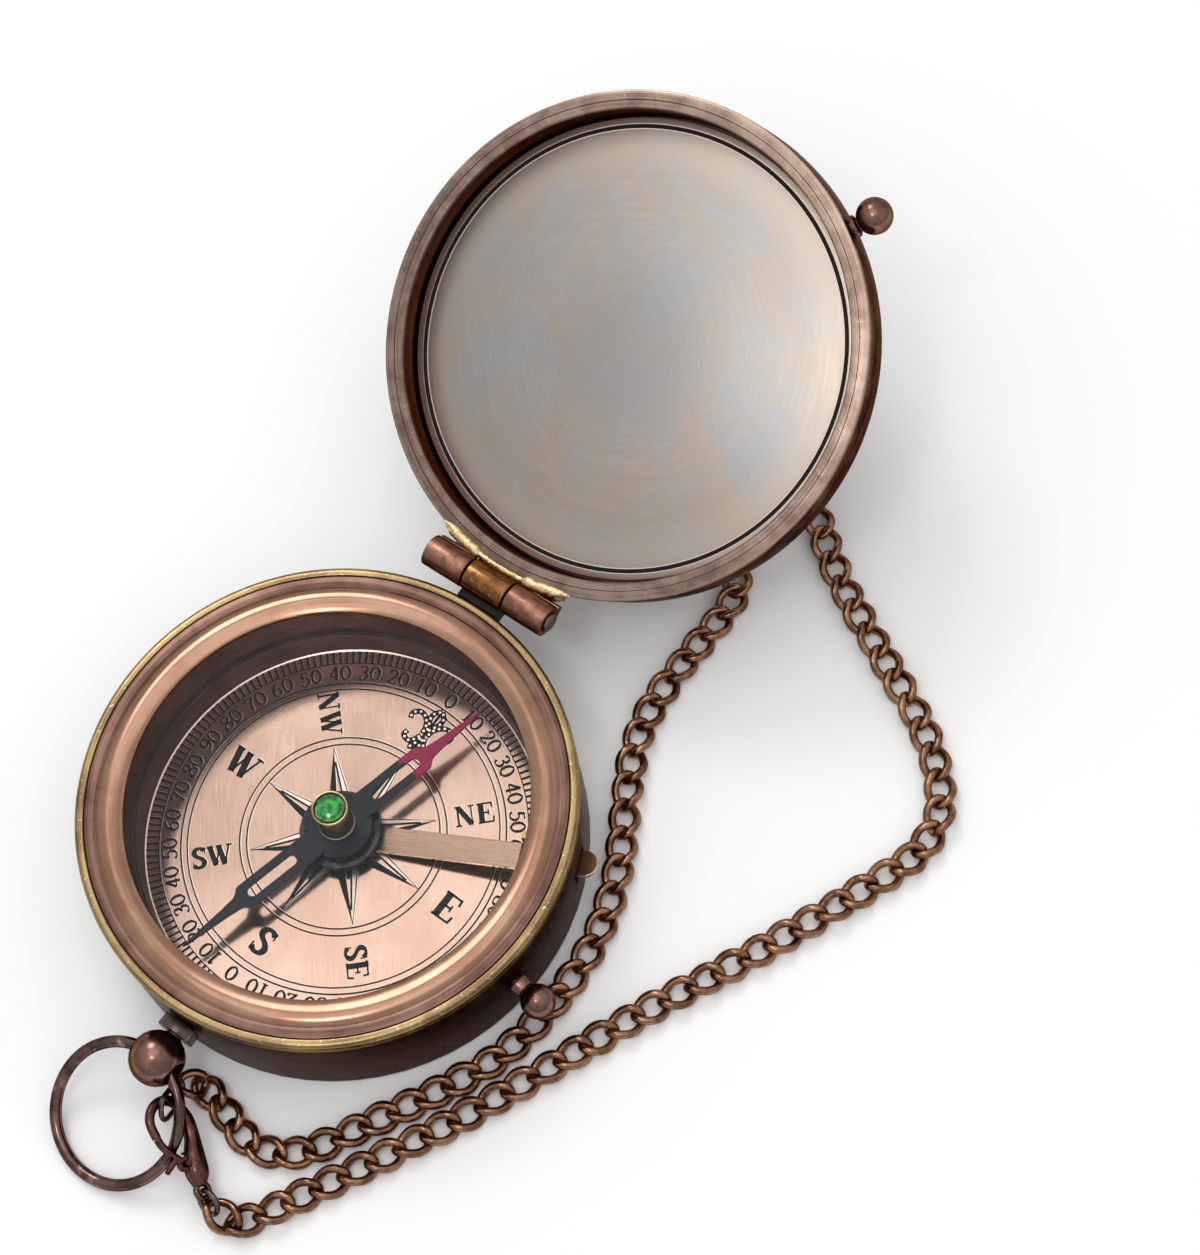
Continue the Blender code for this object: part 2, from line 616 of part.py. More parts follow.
def hinge_parts(hinge, lid):
    """The hinge frame has its origin on the pin, and the lid frame turns on it."""
    half = KNUCKLE_MIDDLE / 2
    bore = HINGE_PIN_RADIUS + PIN_GAP
    middle = placed("case_knuckle", knuckle(-half, half), BRASS, hinge)
    inset = Matrix.Translation((-HINGE_DISTANCE, 0, -HINGE_HEIGHT))
    web = block((-HINGE_DISTANCE + SHELL_BORE, -half, -CASE_WEB_DEPTH), (-bore, half, -bore))
    boolean(middle, helper("case_web", web, hinge), "UNION")
    boolean(middle, wall_cutter("case_web_face", BAND_RADIUS + SEAT_GAP, hinge, inset), "DIFFERENCE")

    start = half + SEAT_GAP
    for side, name in ((1, "lid_knuckle_left"), (-1, "lid_knuckle_right")):
        low, high = sorted((side * start, side * (start + KNUCKLE_OUTER)))
        outer = placed(name, knuckle(low, high), COPPER, lid)
        arm = block((LID_BORE - HINGE_DISTANCE, low, bore), (-bore, high, LID_LEAF_RISE))
        boolean(outer, helper(name + "_arm", arm, lid), "UNION")
        boolean(outer, wall_cutter(name + "_face", LID_RADIUS + SEAT_GAP, lid, inset), "DIFFERENCE")

    reach = HINGE_HALF + PIN_GAP
    pin = [(0, -reach - HINGE_PIN_HEAD), (HINGE_PIN_HEAD_RADIUS, -reach - HINGE_PIN_HEAD)]
    pin += [(HINGE_PIN_HEAD_RADIUS, -reach), (HINGE_PIN_RADIUS, -reach)]
    pin += [(HINGE_PIN_RADIUS, reach), (0, reach)]
    placed("hinge_pin", turned(pin, 20), COPPER, hinge, Matrix.Rotation(math.radians(-90), 4, "X"))

    low = LID_LEAF_RISE + SEAT_GAP
    long = LID_LEAF_LENGTH / 2
    outer = LID_RADIUS + SEAT_GAP + LID_LEAF_WIDTH - HINGE_DISTANCE
    strip = block((LID_BORE - HINGE_DISTANCE, -long, low), (outer, long, low + LID_LEAF_HEIGHT))
    leaf = placed("lid_leaf", strip, BRASS, lid)
    boolean(leaf, wall_cutter("lid_leaf_face", LID_RADIUS + SEAT_GAP, lid, inset), "DIFFERENCE")


def lid_parts(lid):
    closed = Matrix.Translation((-HINGE_DISTANCE, 0, -HINGE_HEIGHT))
    rounding = arc((LID_RADIUS - LID_EDGE, LID_TOP - LID_EDGE), LID_EDGE, 0, 90, 3)
    back = LID_TOP - LID_BACK
    shell = [(LID_BORE, LID_MOUTH), (LID_RADIUS, LID_MOUTH)] + rounding
    shell += [(0, LID_TOP), (0, back), (LID_BORE, back)]
    dish = placed("lid_shell", turned(shell, 64), DARK_COPPER, lid, closed)

    low = LID_MOUTH + LID_RECESS
    radius = LID_BORE - SEAT_GAP
    plate = [(0, low), (radius, low), (radius, low + LID_PLATE_THICKNESS), (0, low + LID_PLATE_THICKNESS)]
    placed("lid_plate", turned(plate, 64), SILVER, lid, closed)
    return dish, closed


# Knobs and bow
def ball_on_stem(ball_radius, reach, start, collar_start):
    """A profile along the stem: stem, collar, neck and ball."""
    neck = reach - math.sqrt(ball_radius**2 - KNOB_STEM_RADIUS**2)
    collar_end = min(collar_start + KNOB_COLLAR, neck)
    profile = [(0, start), (KNOB_STEM_RADIUS, start), (KNOB_STEM_RADIUS, collar_start)]
    profile += [(KNOB_COLLAR_RADIUS, collar_start), (KNOB_COLLAR_RADIUS * 0.85, collar_end - SEAT_GAP)]
    profile += [(KNOB_STEM_RADIUS, collar_end - SEAT_GAP)]
    low = -math.degrees(math.acos(KNOB_STEM_RADIUS / ball_radius))
    rounding = arc((0, reach), ball_radius, low, 90, 8)
    return profile + rounding[:-1] + [(0, reach + ball_radius)]


def stem_hole(name, wall, frame, radius, parent=None):
    """Bores a wall for a stem; the frame's Z runs along the stem."""
    bore = cylinder(radius, LID_BORE - CASE_WALL, LID_RADIUS + CASE_WALL, 16)
    boolean(wall, helper(name, bore, parent, frame), "DIFFERENCE")


def knob_parts(shell, tube, lid, dish, closed):
    hole = KNOB_STEM_RADIUS + PIN_GAP
    frame = radial(CASE_KNOB_ANGLE_DEG, BOW_HEIGHT)
    knob = ball_on_stem(CASE_KNOB_RADIUS, KNOB_REACH, LINER_RADIUS + PIN_GAP, CASE_RADIUS + SEAT_GAP)
    placed("case_knob", turned(knob, 16), COPPER, None, frame)
    stem_hole("case_knob_hole", shell, frame, hole)

    lid_frame = closed @ radial(LID_KNOB_ANGLE_DEG, LID_MOUTH + LID_KNOB_RISE)
    stud = ball_on_stem(LID_KNOB_RADIUS, KNOB_REACH, LID_BORE + SEAT_GAP, LID_RADIUS + SEAT_GAP)
    placed("lid_knob", turned(stud, 16), COPPER, lid, lid_frame)
    stem_hole("lid_knob_hole", dish, lid_frame, hole, lid)


def bow_parts(shell, bow):
    frame = radial(180, BOW_HEIGHT)
    hole = BOW_STEM_RADIUS + PIN_GAP
    stem_hole("bow_stem_hole", shell, frame, hole)

    low = CASE_RADIUS + SEAT_GAP
    high = low + BOW_COLLAR
    collar = [(hole, low), (BOW_COLLAR_RADIUS, low), (BOW_COLLAR_RADIUS, high), (hole, high)]
    placed("bow_collar", turned(collar, 24), MAUVE, None, frame)

    neck_deg = -math.degrees(math.acos(BOW_STEM_RADIUS / BOW_BALL_RADIUS))
    profile = [(0, LINER_RADIUS + PIN_GAP), (BOW_STEM_RADIUS, LINER_RADIUS + PIN_GAP)]
    rounding = arc((0, BOW_BALL_REACH), BOW_BALL_RADIUS, neck_deg, 90, 10)
    profile += rounding[:-1] + [(0, BOW_BALL_REACH + BOW_BALL_RADIUS)]
    ball = placed("bow_ball", turned(profile, 24), COPPER, None, frame)

    far = BOW_BALL_RADIUS + SEAT_GAP
    cone = [(0, -far), (BOW_BORE_MOUTH, -far), (BOW_BORE_THROAT, 0), (BOW_BORE_MOUTH, far), (0, far)]
    bore = turned(cone, 20)
    bore.transform(Matrix.Rotation(math.radians(90), 4, "X"))
    boolean(ball, helper("bow_bore", bore, bow), "DIFFERENCE")

    steps = 48
    wire = []
    for k in range(steps):
        a = 2 * math.pi * k / steps
        wire.append((-BOW_RING_RADIUS * (1 - math.cos(a)), -BOW_RING_RADIUS * math.sin(a), 0))
    placed("bow_ring", swept(wire, [BOW_WIRE_RADIUS] * steps, 8, closed=True), BOW_STEEL, bow)


def bow_frame():
    """The ball's centre, with the ring's plane tipped until its far end meets the table."""
    drop = BOW_HEIGHT - BOW_WIRE_RADIUS - TABLE_CLEARANCE
    tip = -math.asin(drop / (2 * BOW_RING_RADIUS))
    place = Matrix.Translation((-BOW_BALL_REACH, 0, BOW_HEIGHT))
    return place @ turn_z(BOW_YAW_DEG) @ Matrix.Rotation(tip, 4, "Y")


# Clasp
def clasp_frame(bow_matrix):
    """Origin in the middle of the eye; X points to the hook's crown, Y to the gate, and Z is the face."""
    a = math.radians(CLASP_RING_ANGLE_DEG)
    on_ring = Vector((-BOW_RING_RADIUS * (1 - math.cos(a)), -BOW_RING_RADIUS * math.sin(a), 0))
    ahead = -Vector(CLASP_TAIL_DIRECTION).normalized()
    face = Vector(CLASP_FACE_DIRECTION)
    face = (face - face.project(ahead)).normalized()
    matrix = Matrix((ahead, face.cross(ahead), face)).transposed().to_4x4()
    matrix.translation = bow_matrix @ on_ring + CLASP_RING_SEAT * ahead
    return matrix


def clasp_body(clasp, pivot):
    """A bent tapering bar: tail, belly, spine, crown and the hook's tip, with a lug, ears and a channel."""
    width = CLASP_HALF_WIDTH
    wire = CLASP_CROWN_WIRE - CLASP_HOOK_WIRE
    stations = [
        (-CLASP_LUG_REACH + CLASP_LUG_RADIUS * 0.6, 0, CLASP_BELLY_WIRE * 0.6),
        (-CLASP_BELLY, -width * 0.18, CLASP_BELLY_WIRE),
        (-CLASP_PIVOT_REACH, -width * 0.42, CLASP_BELLY_WIRE * 0.95),
        (-CLASP_PIVOT_REACH / 2, -width * 0.82, CLASP_SPINE_WIRE * 1.05),
        (0, -width, CLASP_SPINE_WIRE),
    ]
    for k, (x, y) in enumerate(arc((CLASP_CROWN, 0), width, -80, 90, 8)):
        stations.append((x, y, CLASP_HOOK_WIRE + wire * (1 - k / 8)))
    stations.append((0, width, CLASP_HOOK_WIRE))
    points = [(x, y, 0) for x, y, _ in stations]
    bar = swept(points, [r for _, _, r in stations], 10, reference=(0, 0, 1))
    hook = placed("clasp_body", bar, DARK_COPPER, clasp)

    lug_place = Matrix.Translation((-CLASP_LUG_REACH, 0, 0))
    lug = cylinder(CLASP_LUG_RADIUS, -CLASP_LUG_HALF, CLASP_LUG_HALF, 16)
    boolean(hook, helper("clasp_lug", lug, clasp, lug_place), "UNION")
    lug_bore = cylinder(CLASP_LUG_BORE, -CLASP_BELLY_WIRE, CLASP_BELLY_WIRE, 16)
    boolean(hook, helper("clasp_lug_bore", lug_bore, clasp, lug_place), "DIFFERENCE")

    ear = cylinder(CLASP_EAR_RADIUS, -CLASP_EAR_HALF, CLASP_EAR_HALF, 16)
    boolean(hook, helper("clasp_ear", ear, clasp, pivot), "UNION")
    half = GATE_WIRE + PIN_GAP
    back = -GATE_EYE_RADIUS - SEAT_GAP
    channel = block((back, back, -half), (CLASP_PIVOT_REACH * 0.9, 2 * width, half))
    boolean(hook, helper("clasp_channel", channel, clasp, pivot), "DIFFERENCE")
    pin_bore = cylinder(CLASP_PIN_RADIUS + PIN_GAP, -2 * CLASP_EAR_HALF, 2 * CLASP_EAR_HALF, 12)
    boolean(hook, helper("clasp_pin_bore", pin_bore, clasp, pivot), "DIFFERENCE")


def clasp_gate(gate):
    """The arm runs from its eye on the pin to the hook's tip, and a thumb tab stands out behind it."""
    reach = CLASP_PIVOT_REACH - 2 * PIN_GAP
    rise = CLASP_HALF_WIDTH - CLASP_PIVOT_SIDE
    sweep = []
    for k in range(1, 7):
        t = k / 6
        sweep.append((reach * t, rise * math.sin(math.radians(90) * t) ** 1.2, 0))
    arm_mesh = swept(sweep, [GATE_WIRE] * len(sweep), 8, reference=(0, 0, 1))
    arm = placed("clasp_gate", arm_mesh, DARK_COPPER, gate)
    tab = [(reach * 0.28, rise * 0.35, 0), (reach * 0.17, rise * 0.85, 0)]
    tab.append((reach * 0.03, GATE_THUMB_REACH, 0))
    tab_mesh = swept(tab, [GATE_WIRE * 0.95, GATE_WIRE * 0.9, GATE_WIRE * 0.7], 8, reference=(0, 0, 1))
    boolean(arm, helper("clasp_thumb", tab_mesh, gate), "UNION")
    eye = cylinder(GATE_EYE_RADIUS, -GATE_EYE_HALF, GATE_EYE_HALF, 16)
    boolean(arm, helper("clasp_gate_eye", eye, gate), "UNION")
    bore = cylinder(CLASP_PIN_RADIUS + PIN_GAP, -CLASP_EAR_HALF, CLASP_EAR_HALF, 12)
    boolean(arm, helper("clasp_gate_bore", bore, gate), "DIFFERENCE")


def oval(length, half_width, steps):
    """A straight-sided oval in the XY plane, its length along X."""
    straight = length / 2 - half_width
    turns = arc((straight, 0), half_width, -90, 90, steps) + arc((-straight, 0), half_width, 90, 270, steps)
    return [(x, y, 0) for x, y in turns]


def clasp_parts(clasp, gate, pivot, clasp_matrix):
    clasp_body(clasp, pivot)
    clasp_gate(gate)
    pin = cylinder(CLASP_PIN_RADIUS, -CLASP_EAR_HALF, CLASP_EAR_HALF, 12)
    placed("clasp_gate_pin", pin, BRASS, clasp, pivot)

    leaf = [(x * MM, y * MM, 0) for x, y in SPRING_ROUTE_MM]
    leaf_mesh = swept(leaf, [SPRING_WIRE] * len(leaf), 6, reference=(0, 0, 1))
    placed("clasp_spring", leaf_mesh, BLACK_STEEL, clasp, pivot)

    steps = 16
    ring = []
    for k in range(steps):
        a = 2 * math.pi * k / steps
        ring.append((JUMP_RING_RADIUS * math.cos(a), 0, JUMP_RING_RADIUS * math.sin(a)))
    middle = Matrix.Translation((-CLASP_LUG_REACH - JUMP_RING_RADIUS, 0, 0))
    placed("jump_ring", swept(ring, [JUMP_RING_WIRE] * steps, 6, closed=True), BOW_STEEL, clasp, middle)

    low = clasp_matrix @ (Vector(END_LINK_SEAT_MM) * MM)
    high = Vector((-BOW_BALL_REACH, 0, BOW_HEIGHT)) + Vector(END_LINK_FROM_BALL_MM) * MM
    along = (high - low).normalized()
    face = Vector(END_LINK_FACE_DIRECTION)
    face = (face - face.project(along)).normalized()
    place = Matrix((along, face.cross(along), face)).transposed().to_4x4()
    place.translation = (low + high) / 2
    route = oval((high - low).length, END_LINK_HALF_WIDTH, 7)
    link = swept(route, [END_LINK_WIRE] * len(route), 6, closed=True)
    placed("chain_end_link", link, CHAIN_COPPER, clasp, clasp_matrix.inverted() @ place)


# Chain
def smooth_path(points, samples):
    """A Catmull-Rom curve through the points, as a list of vectors."""
    points = [Vector(p) for p in points]
    ends = [2 * points[0] - points[1]] + points + [2 * points[-1] - points[-2]]
    path = []
    for a, b, c, d in zip(ends, ends[1:], ends[2:], ends[3:]):
        for k in range(samples):
            t = k / samples
            bend = (2 * a - 5 * b + 4 * c - d) * t**2 + (3 * b - a - 3 * c + d) * t**3
            path.append(b + 0.5 * ((c - a) * t + bend))
    path.append(points[-1])
    return path


def at_distance(path, distance):
    for start, end in zip(path, path[1:]):
        step = (end - start).length
        if distance <= step:
            return start.lerp(end, distance / step)
        distance -= step
    return path[-1]


def link_mesh(steps, sides):
    """One twisted oval link, its length along X."""
    reach = (CHAIN_PITCH + CHAIN_WIRE - CHAIN_BITE) / 2
    half = (CHAIN_LINK_WIDTH - CHAIN_WIRE) / 2
    wire = []
    for k in range(steps):
        a = 2 * math.pi * k / steps
        roll = math.radians(CHAIN_TWIST_DEG) * math.cos(a)
        side = half * math.sin(a)
        wire.append((reach * math.cos(a), side * math.cos(roll), side * math.sin(roll)))
    return swept(wire, [CHAIN_WIRE / 2] * steps, sides, closed=True)


def link_frames():
    """A frame for each link; the first and the last links' outer ends lie on the route's ends."""
    path = smooth_path([Vector(p) * MM for p in CHAIN_ROUTE_MM], 12)
    total = sum((end - start).length for start, end in zip(path, path[1:]))
    reach = (CHAIN_PITCH + CHAIN_WIRE - CHAIN_BITE) / 2
    count = 1 + round((total - 2 * reach) / CHAIN_PITCH)
    slack = CHAIN_BITE + CHAIN_RUN_GAP
    marks = [k * CHAIN_PITCH - slack * (k // CHAIN_RUN_LINKS) for k in range(count)]
    scale = (total - 2 * reach) / marks[-1]
    frames = []
    for mark in marks:
        distance = reach + mark * scale
        ahead = at_distance(path, distance + reach)
        behind = at_distance(path, distance - reach)
        along = (ahead - behind).normalized()
        across = Vector((0, 0, 1)).cross(along).normalized()
        matrix = Matrix((along, across, along.cross(across))).transposed().to_4x4()
        matrix.translation = (ahead + behind) / 2
        frames.append(matrix)
    return frames


def joined_links(frames):
    """Separate links in one mesh."""
    whole = bmesh.new()
    for frame in frames:
        link = link_mesh(8, 4)
        link.transform(frame)
        whole.from_mesh(link)
        bpy.data.meshes.remove(link)
    return finished(whole)


def chain_parts():
    frames = link_frames()
    runs = [frames[k : k + CHAIN_RUN_LINKS] for k in range(0, len(frames), CHAIN_RUN_LINKS)]
    for number, run in enumerate(runs, 1):
        name = f"chain_run_{number}"
        even = placed(name, joined_links(run[::2]), CHAIN_COPPER)
        boolean(even, helper(name + "_between", joined_links(run[1::2])), "UNION")


shell, tube = case_parts()
ring = dial_parts()
needle = joint_empty("needle_axis", turn_z(NEEDLE_HEADING_DEG))
needle_parts(needle)
pivot_post()
lever_place = turn_z(LEVER_ANGLE_DEG) @ Matrix.Translation((LEVER_PIVOT_RADIUS, 0, LEVER_PIN_HEIGHT))
lever_parts(lever_place, shell, tube, ring)
hinge = joint_empty("hinge_line", Matrix.Translation((HINGE_DISTANCE, 0, HINGE_HEIGHT)))
lid = joint_empty("lid_axis", Matrix.Rotation(math.radians(LID_OPEN_DEG), 4, "Y"), hinge)
hinge_parts(hinge, lid)
dish, closed_place = lid_parts(lid)
knob_parts(shell, tube, lid, dish, closed_place)
bow_matrix = bow_frame()
bow_parts(shell, joint_empty("bow_axis", bow_matrix))
clasp_matrix = clasp_frame(bow_matrix)
clasp = joint_empty("clasp_place", clasp_matrix)
pivot_place = Matrix.Translation((-CLASP_PIVOT_REACH, CLASP_PIVOT_SIDE, 0))
gate = joint_empty("gate_axis", pivot_place, clasp)
clasp_parts(clasp, gate, pivot_place, clasp_matrix)
chain_parts()
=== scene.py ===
"""Looks of a pocket magnetic compass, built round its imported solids.

Shapes are written in millimetres and set down in metres.
The case axis is Z, the lid hinge is at +X and the bow at -X.
"""

import math
from functools import partial

import bmesh
import bpy
from mathutils import Matrix, Vector, noise


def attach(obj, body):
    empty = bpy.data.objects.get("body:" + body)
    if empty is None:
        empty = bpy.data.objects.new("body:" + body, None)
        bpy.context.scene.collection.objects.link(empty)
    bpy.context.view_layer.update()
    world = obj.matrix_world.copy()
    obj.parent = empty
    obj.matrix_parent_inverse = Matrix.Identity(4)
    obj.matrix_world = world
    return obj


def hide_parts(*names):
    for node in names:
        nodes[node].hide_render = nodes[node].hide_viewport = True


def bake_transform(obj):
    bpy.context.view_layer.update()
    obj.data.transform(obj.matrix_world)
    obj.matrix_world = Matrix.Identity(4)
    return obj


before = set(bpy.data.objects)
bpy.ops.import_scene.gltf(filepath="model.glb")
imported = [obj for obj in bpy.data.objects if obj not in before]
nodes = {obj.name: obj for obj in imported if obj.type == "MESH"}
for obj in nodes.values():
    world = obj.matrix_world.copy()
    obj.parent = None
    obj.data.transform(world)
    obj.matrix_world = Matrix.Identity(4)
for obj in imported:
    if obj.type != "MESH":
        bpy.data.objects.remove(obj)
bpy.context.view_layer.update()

MM = 0.001


# Frames of the assemblies, in millimetres
def turn(degrees, axis):
    return Matrix.Rotation(math.radians(degrees), 4, axis)


def at(x, y, z):
    return Matrix.Translation((x, y, z))


def square_to(vector, axis):
    """The vector's part across the axis, at unit length."""
    return (vector - vector.project(axis)).normalized()


def frame_of(x, y, z, origin):
    """The frame with these axes and this origin."""
    matrix = Matrix((x, y, z)).transposed().to_4x4()
    matrix.translation = origin
    return matrix


def stud_frame(degrees, height):
    """Z points out of the wall, at this angle round the axis and this height."""
    return turn(degrees, "Z") @ at(0, 0, height) @ turn(90, "Y")


HINGE = (27.4, 0.0, 12.95)
LID_OPEN = 153.7
CASE_HINGE = at(*HINGE)
LID_HINGE = CASE_HINGE @ turn(LID_OPEN, "Y")
LID = LID_HINGE @ at(-HINGE[0], 0, -HINGE[2])
NEEDLE = turn(-15.5, "Z")
LEVER = turn(-66.5, "Z") @ at(19.3, 0, 5.554) @ turn(-8.5, "Y")
STUD_HEIGHT, LID_STUD_HEIGHT = 6.5, 15.8
CASE_KNOB = stud_frame(-97.8, STUD_HEIGHT)
LID_KNOB = LID @ stud_frame(-145.6, LID_STUD_HEIGHT)
BALL = stud_frame(180, STUD_HEIGHT)
BOW_RADIUS = 6.95
BOW_DROP = 5.85
BOW_TILT = math.asin(BOW_DROP / (2 * BOW_RADIUS))
BOW = at(-29.1, 0, STUD_HEIGHT) @ turn(-8, "Z") @ Matrix.Rotation(-BOW_TILT, 4, "Y")
CLASP_PLACE = 70  # degrees round the bow from its ball
CLASP_HANG = 1.05  # from the bow's centre line to the middle of the hook's eye


def on_bow(a):
    """The point of the bow's centre line at this angle from the ball."""
    return Vector((-BOW_RADIUS * (1 - math.cos(a)), -BOW_RADIUS * math.sin(a), 0))


def clasp_matrix():
    """Origin in the hook's eye, X towards its crown, Y towards the gate, Z out of its face."""
    ahead = Vector((0.43, 0.816, 0.386)).normalized()
    face = square_to(Vector((0.40, -0.55, 0.73)), ahead)
    middle = BOW @ on_bow(math.radians(CLASP_PLACE)) + CLASP_HANG * ahead
    return frame_of(ahead, face.cross(ahead), face, middle)


CLASP = clasp_matrix()


# Material nodes
def fill(node, values):
    """Sets constants on a node's own sockets."""
    for key, value in values.items():
        node.inputs[key].default_value = value


def opaque(colour):
    return (*colour, 1.0) if isinstance(colour, tuple) else colour


class Nodes:
    """A material and short ways to add nodes to it. Its coordinates come out in millimetres."""

    def __init__(self, name):
        self.mat = bpy.data.materials.new(name)
        self.mat.use_nodes = True
        self.tree = self.mat.node_tree
        self.shader = self.tree.nodes["Principled BSDF"]

    def put(self, socket, value):
        if isinstance(value, bpy.types.NodeSocket):
            self.tree.links.new(value, socket)
        elif value is not None:
            socket.default_value = value

    def add(self, kind, *values, **settings):
        """A node; its first sockets take the values or links that are given."""
        node = self.tree.nodes.new(kind)
        for key, value in settings.items():
            setattr(node, key, value)
        for socket, value in zip(node.inputs, values):
            self.put(socket, value)
        return node

    def math(self, operation, *values):
        return self.add("ShaderNodeMath", *values, operation=operation).outputs[0]

    def times(self, a, b):
        return self.math("MULTIPLY", a, b)

    def weigh(self, a, share, b, other_share):
        """Two values added by their shares."""
        return self.math("ADD", self.times(a, share), self.times(b, other_share))

    def level(self, value, swing, base):
        """A value from 0 to 1 laid over a base level."""
        return self.math("ADD", self.times(value, swing), base)

    def coords(self, frame_mm=None):
        """Object coordinates, in the given frame if there is one."""
        source = self.add("ShaderNodeTexCoord").outputs["Object"]
        scaled = self.add("ShaderNodeVectorMath", source, operation="SCALE")
        fill(scaled, {"Scale": 1 / MM})
        if frame_mm is None:
            return scaled.outputs[0]
        inverse = frame_mm.inverted()
        mapping = self.add("ShaderNodeMapping", scaled.outputs[0])
        fill(mapping, {"Location": inverse.translation, "Rotation": inverse.to_euler()})
        return mapping.outputs[0]

    def split(self, vector):
        return self.add("ShaderNodeSeparateXYZ", vector).outputs

    def join(self, x, y, z):
        return self.add("ShaderNodeCombineXYZ", x, y, z).outputs[0]

    def polar(self, vector):
        """(radius, angle, height) about Z."""
        x, y, z = self.split(vector)
        squares = self.math("ADD", self.times(x, x), self.times(y, y))
        return self.math("SQRT", squares), self.math("ARCTAN2", y, x), z

    def around(self, along, angle, rate):
        """A position for noise that runs round the axis without a seam."""
        turns = [self.times(self.math(kind, angle), rate) for kind in ("COSINE", "SINE")]
        return self.join(along, *turns)

    def noise(self, vector, scale, detail=3.0, roughness=0.55, distortion=0.0):
        node = self.add("ShaderNodeTexNoise", vector)
        fill(node, {"Scale": scale, "Detail": detail, "Roughness": roughness, "Distortion": distortion})
        return node.outputs["Fac"]

    def span(self, value, low, high, to_low=0.0, to_high=1.0):
        """A smooth step from one level to another."""
        node = self.add("ShaderNodeMapRange", value, clamp=True, interpolation_type="SMOOTHSTEP")
        fill(node, {"From Min": low, "From Max": high, "To Min": to_low, "To Max": to_high})
        return node.outputs[0]

    def mix(self, factor, a, b):
        node = self.add("ShaderNodeMix", factor, data_type="RGBA")
        self.put(node.inputs[6], opaque(a))
        self.put(node.inputs[7], opaque(b))
        return node.outputs[2]

    def bump(self, height, distance_mm):
        node = self.add("ShaderNodeBump")
        fill(node, {"Distance": distance_mm * MM})
        self.put(node.inputs["Height"], height)
        return node.outputs[0]

    def edge_tint(self, colour, level):
        """Colour of the metal seen at a grazing angle."""
        peak = max(colour)
        tint = (level * (0.4 + 0.6 * c / peak) for c in colour)
        fill(self.shader, {"Specular Tint": (*tint, 1.0)})

    def finish(self, colour, roughness, normal=None, metallic=1.0):
        self.put(self.shader.inputs["Base Color"], opaque(colour))
        self.put(self.shader.inputs["Roughness"], roughness)
        self.put(self.shader.inputs["Normal"], normal)
        fill(self.shader, {"Metallic": metallic})
        return self.mat


def aged_metal(name, base, dark, bright, roughness, blotch=0.35, speck=2.2, dents=0.01, edge=0.6):
    """Metal with soft blotches of patina, small bright specks of wear and a faint uneven surface."""
    m = Nodes(name)
    p = m.coords()
    cloud = m.noise(p, blotch, 4.0, 0.6, 0.6)
    grains = m.noise(p, speck, 5.0, 0.7)
    colour = m.mix(m.span(cloud, 0.38, 0.62), dark, base)
    colour = m.mix(m.span(grains, 0.56, 0.72, 0.0, 0.65), colour, bright)
    rough = m.level(grains, 0.22, roughness - 0.11)
    m.edge_tint(base, edge)
    return m.finish(colour, rough, m.bump(m.noise(p, 3.0, 3.0), dents))


def lathe_metal(name, base, dark, bright, roughness, rings, ring_depth=0.002, specks=0.5, edge=0.6):
    """Turned metal: fine rings round the axis, a slow change of tone round it, and small worn specks."""
    m = Nodes(name)
    p = m.coords()
    radius, angle, height = m.polar(p)
    grain = m.noise(m.around(m.math("MULTIPLY_ADD", radius, rings, height), angle, 1.3), 1.0, 3.0, 0.6)
    cloud = m.noise(p, 0.16, 3.0, 0.6, 0.4)
    grains = m.noise(p, 2.6, 5.0, 0.72)
    tone = m.weigh(grain, 0.45, cloud, 0.55)
    colour = m.mix(m.span(tone, 0.40, 0.60), dark, base)
    colour = m.mix(m.span(grains, 0.58, 0.74, 0.0, specks), colour, bright)
    rough = m.level(grain, 0.16, roughness - 0.08)
    m.edge_tint(base, edge)
    return m.finish(colour, rough, m.bump(grain, ring_depth))


def plain_paint(name, colour, roughness, metallic=0.0, specular=0.5):
    m = Nodes(name)
    grain = m.noise(m.coords(), 6.0, 2.0)
    shade = tuple(c * 0.7 for c in colour)
    fill(m.shader, {"Specular IOR Level": specular})
    return m.finish(m.mix(grain, shade, colour), m.level(grain, 0.1, roughness - 0.05), None, metallic)


# Mesh makers
ON_AXIS = 1e-9  # a smaller radius is a point on the axis
SAME = 1e-6  # a smaller distance is none
CORNER = 35  # degrees above which an edge is sharp


def angles(steps, shift=0):
    """Angles once round, in radians, from this share of a step."""
    return [2 * math.pi * (k + shift) / steps for k in range(steps)]


def spoke(radius, a):
    """The point (x, y) at this radius and angle."""
    return radius * math.cos(a), radius * math.sin(a)


def with_next(items, closed):
    """Each item with the one after it; when closed, the last with the first."""
    return list(zip(items, items[1:] + items[:1] if closed else items[1:]))


def rectangle(x0, y0, x1, y1):
    return [(x0, y0), (x1, y0), (x1, y1), (x0, y1)]


def lathe(profile, segments=160):
    """Revolves a closed list of (radius, height) points about Z; points on the axis become poles."""
    bm = bmesh.new()
    rings = []
    for radius, height in profile:
        turns = angles(segments if radius > ON_AXIS else 1)
        rings.append([bm.verts.new((*spoke(radius, a), height)) for a in turns])
    for ring, following in with_next(rings, True):
        if len(ring) == 1 and len(following) == 1:
            continue
        for k in range(segments):
            n = (k + 1) % segments
            corners = (ring[k % len(ring)], ring[n % len(ring)])
            corners += (following[n % len(following)], following[k % len(following)])
            bm.faces.new(list(dict.fromkeys(corners)))
    return bm


def lying(profile, segments):
    """A turned piece whose axis lies along Y."""
    bm = lathe(profile, segments)
    bmesh.ops.rotate(bm, verts=bm.verts, matrix=Matrix.Rotation(math.radians(-90), 3, "X"))
    return bm


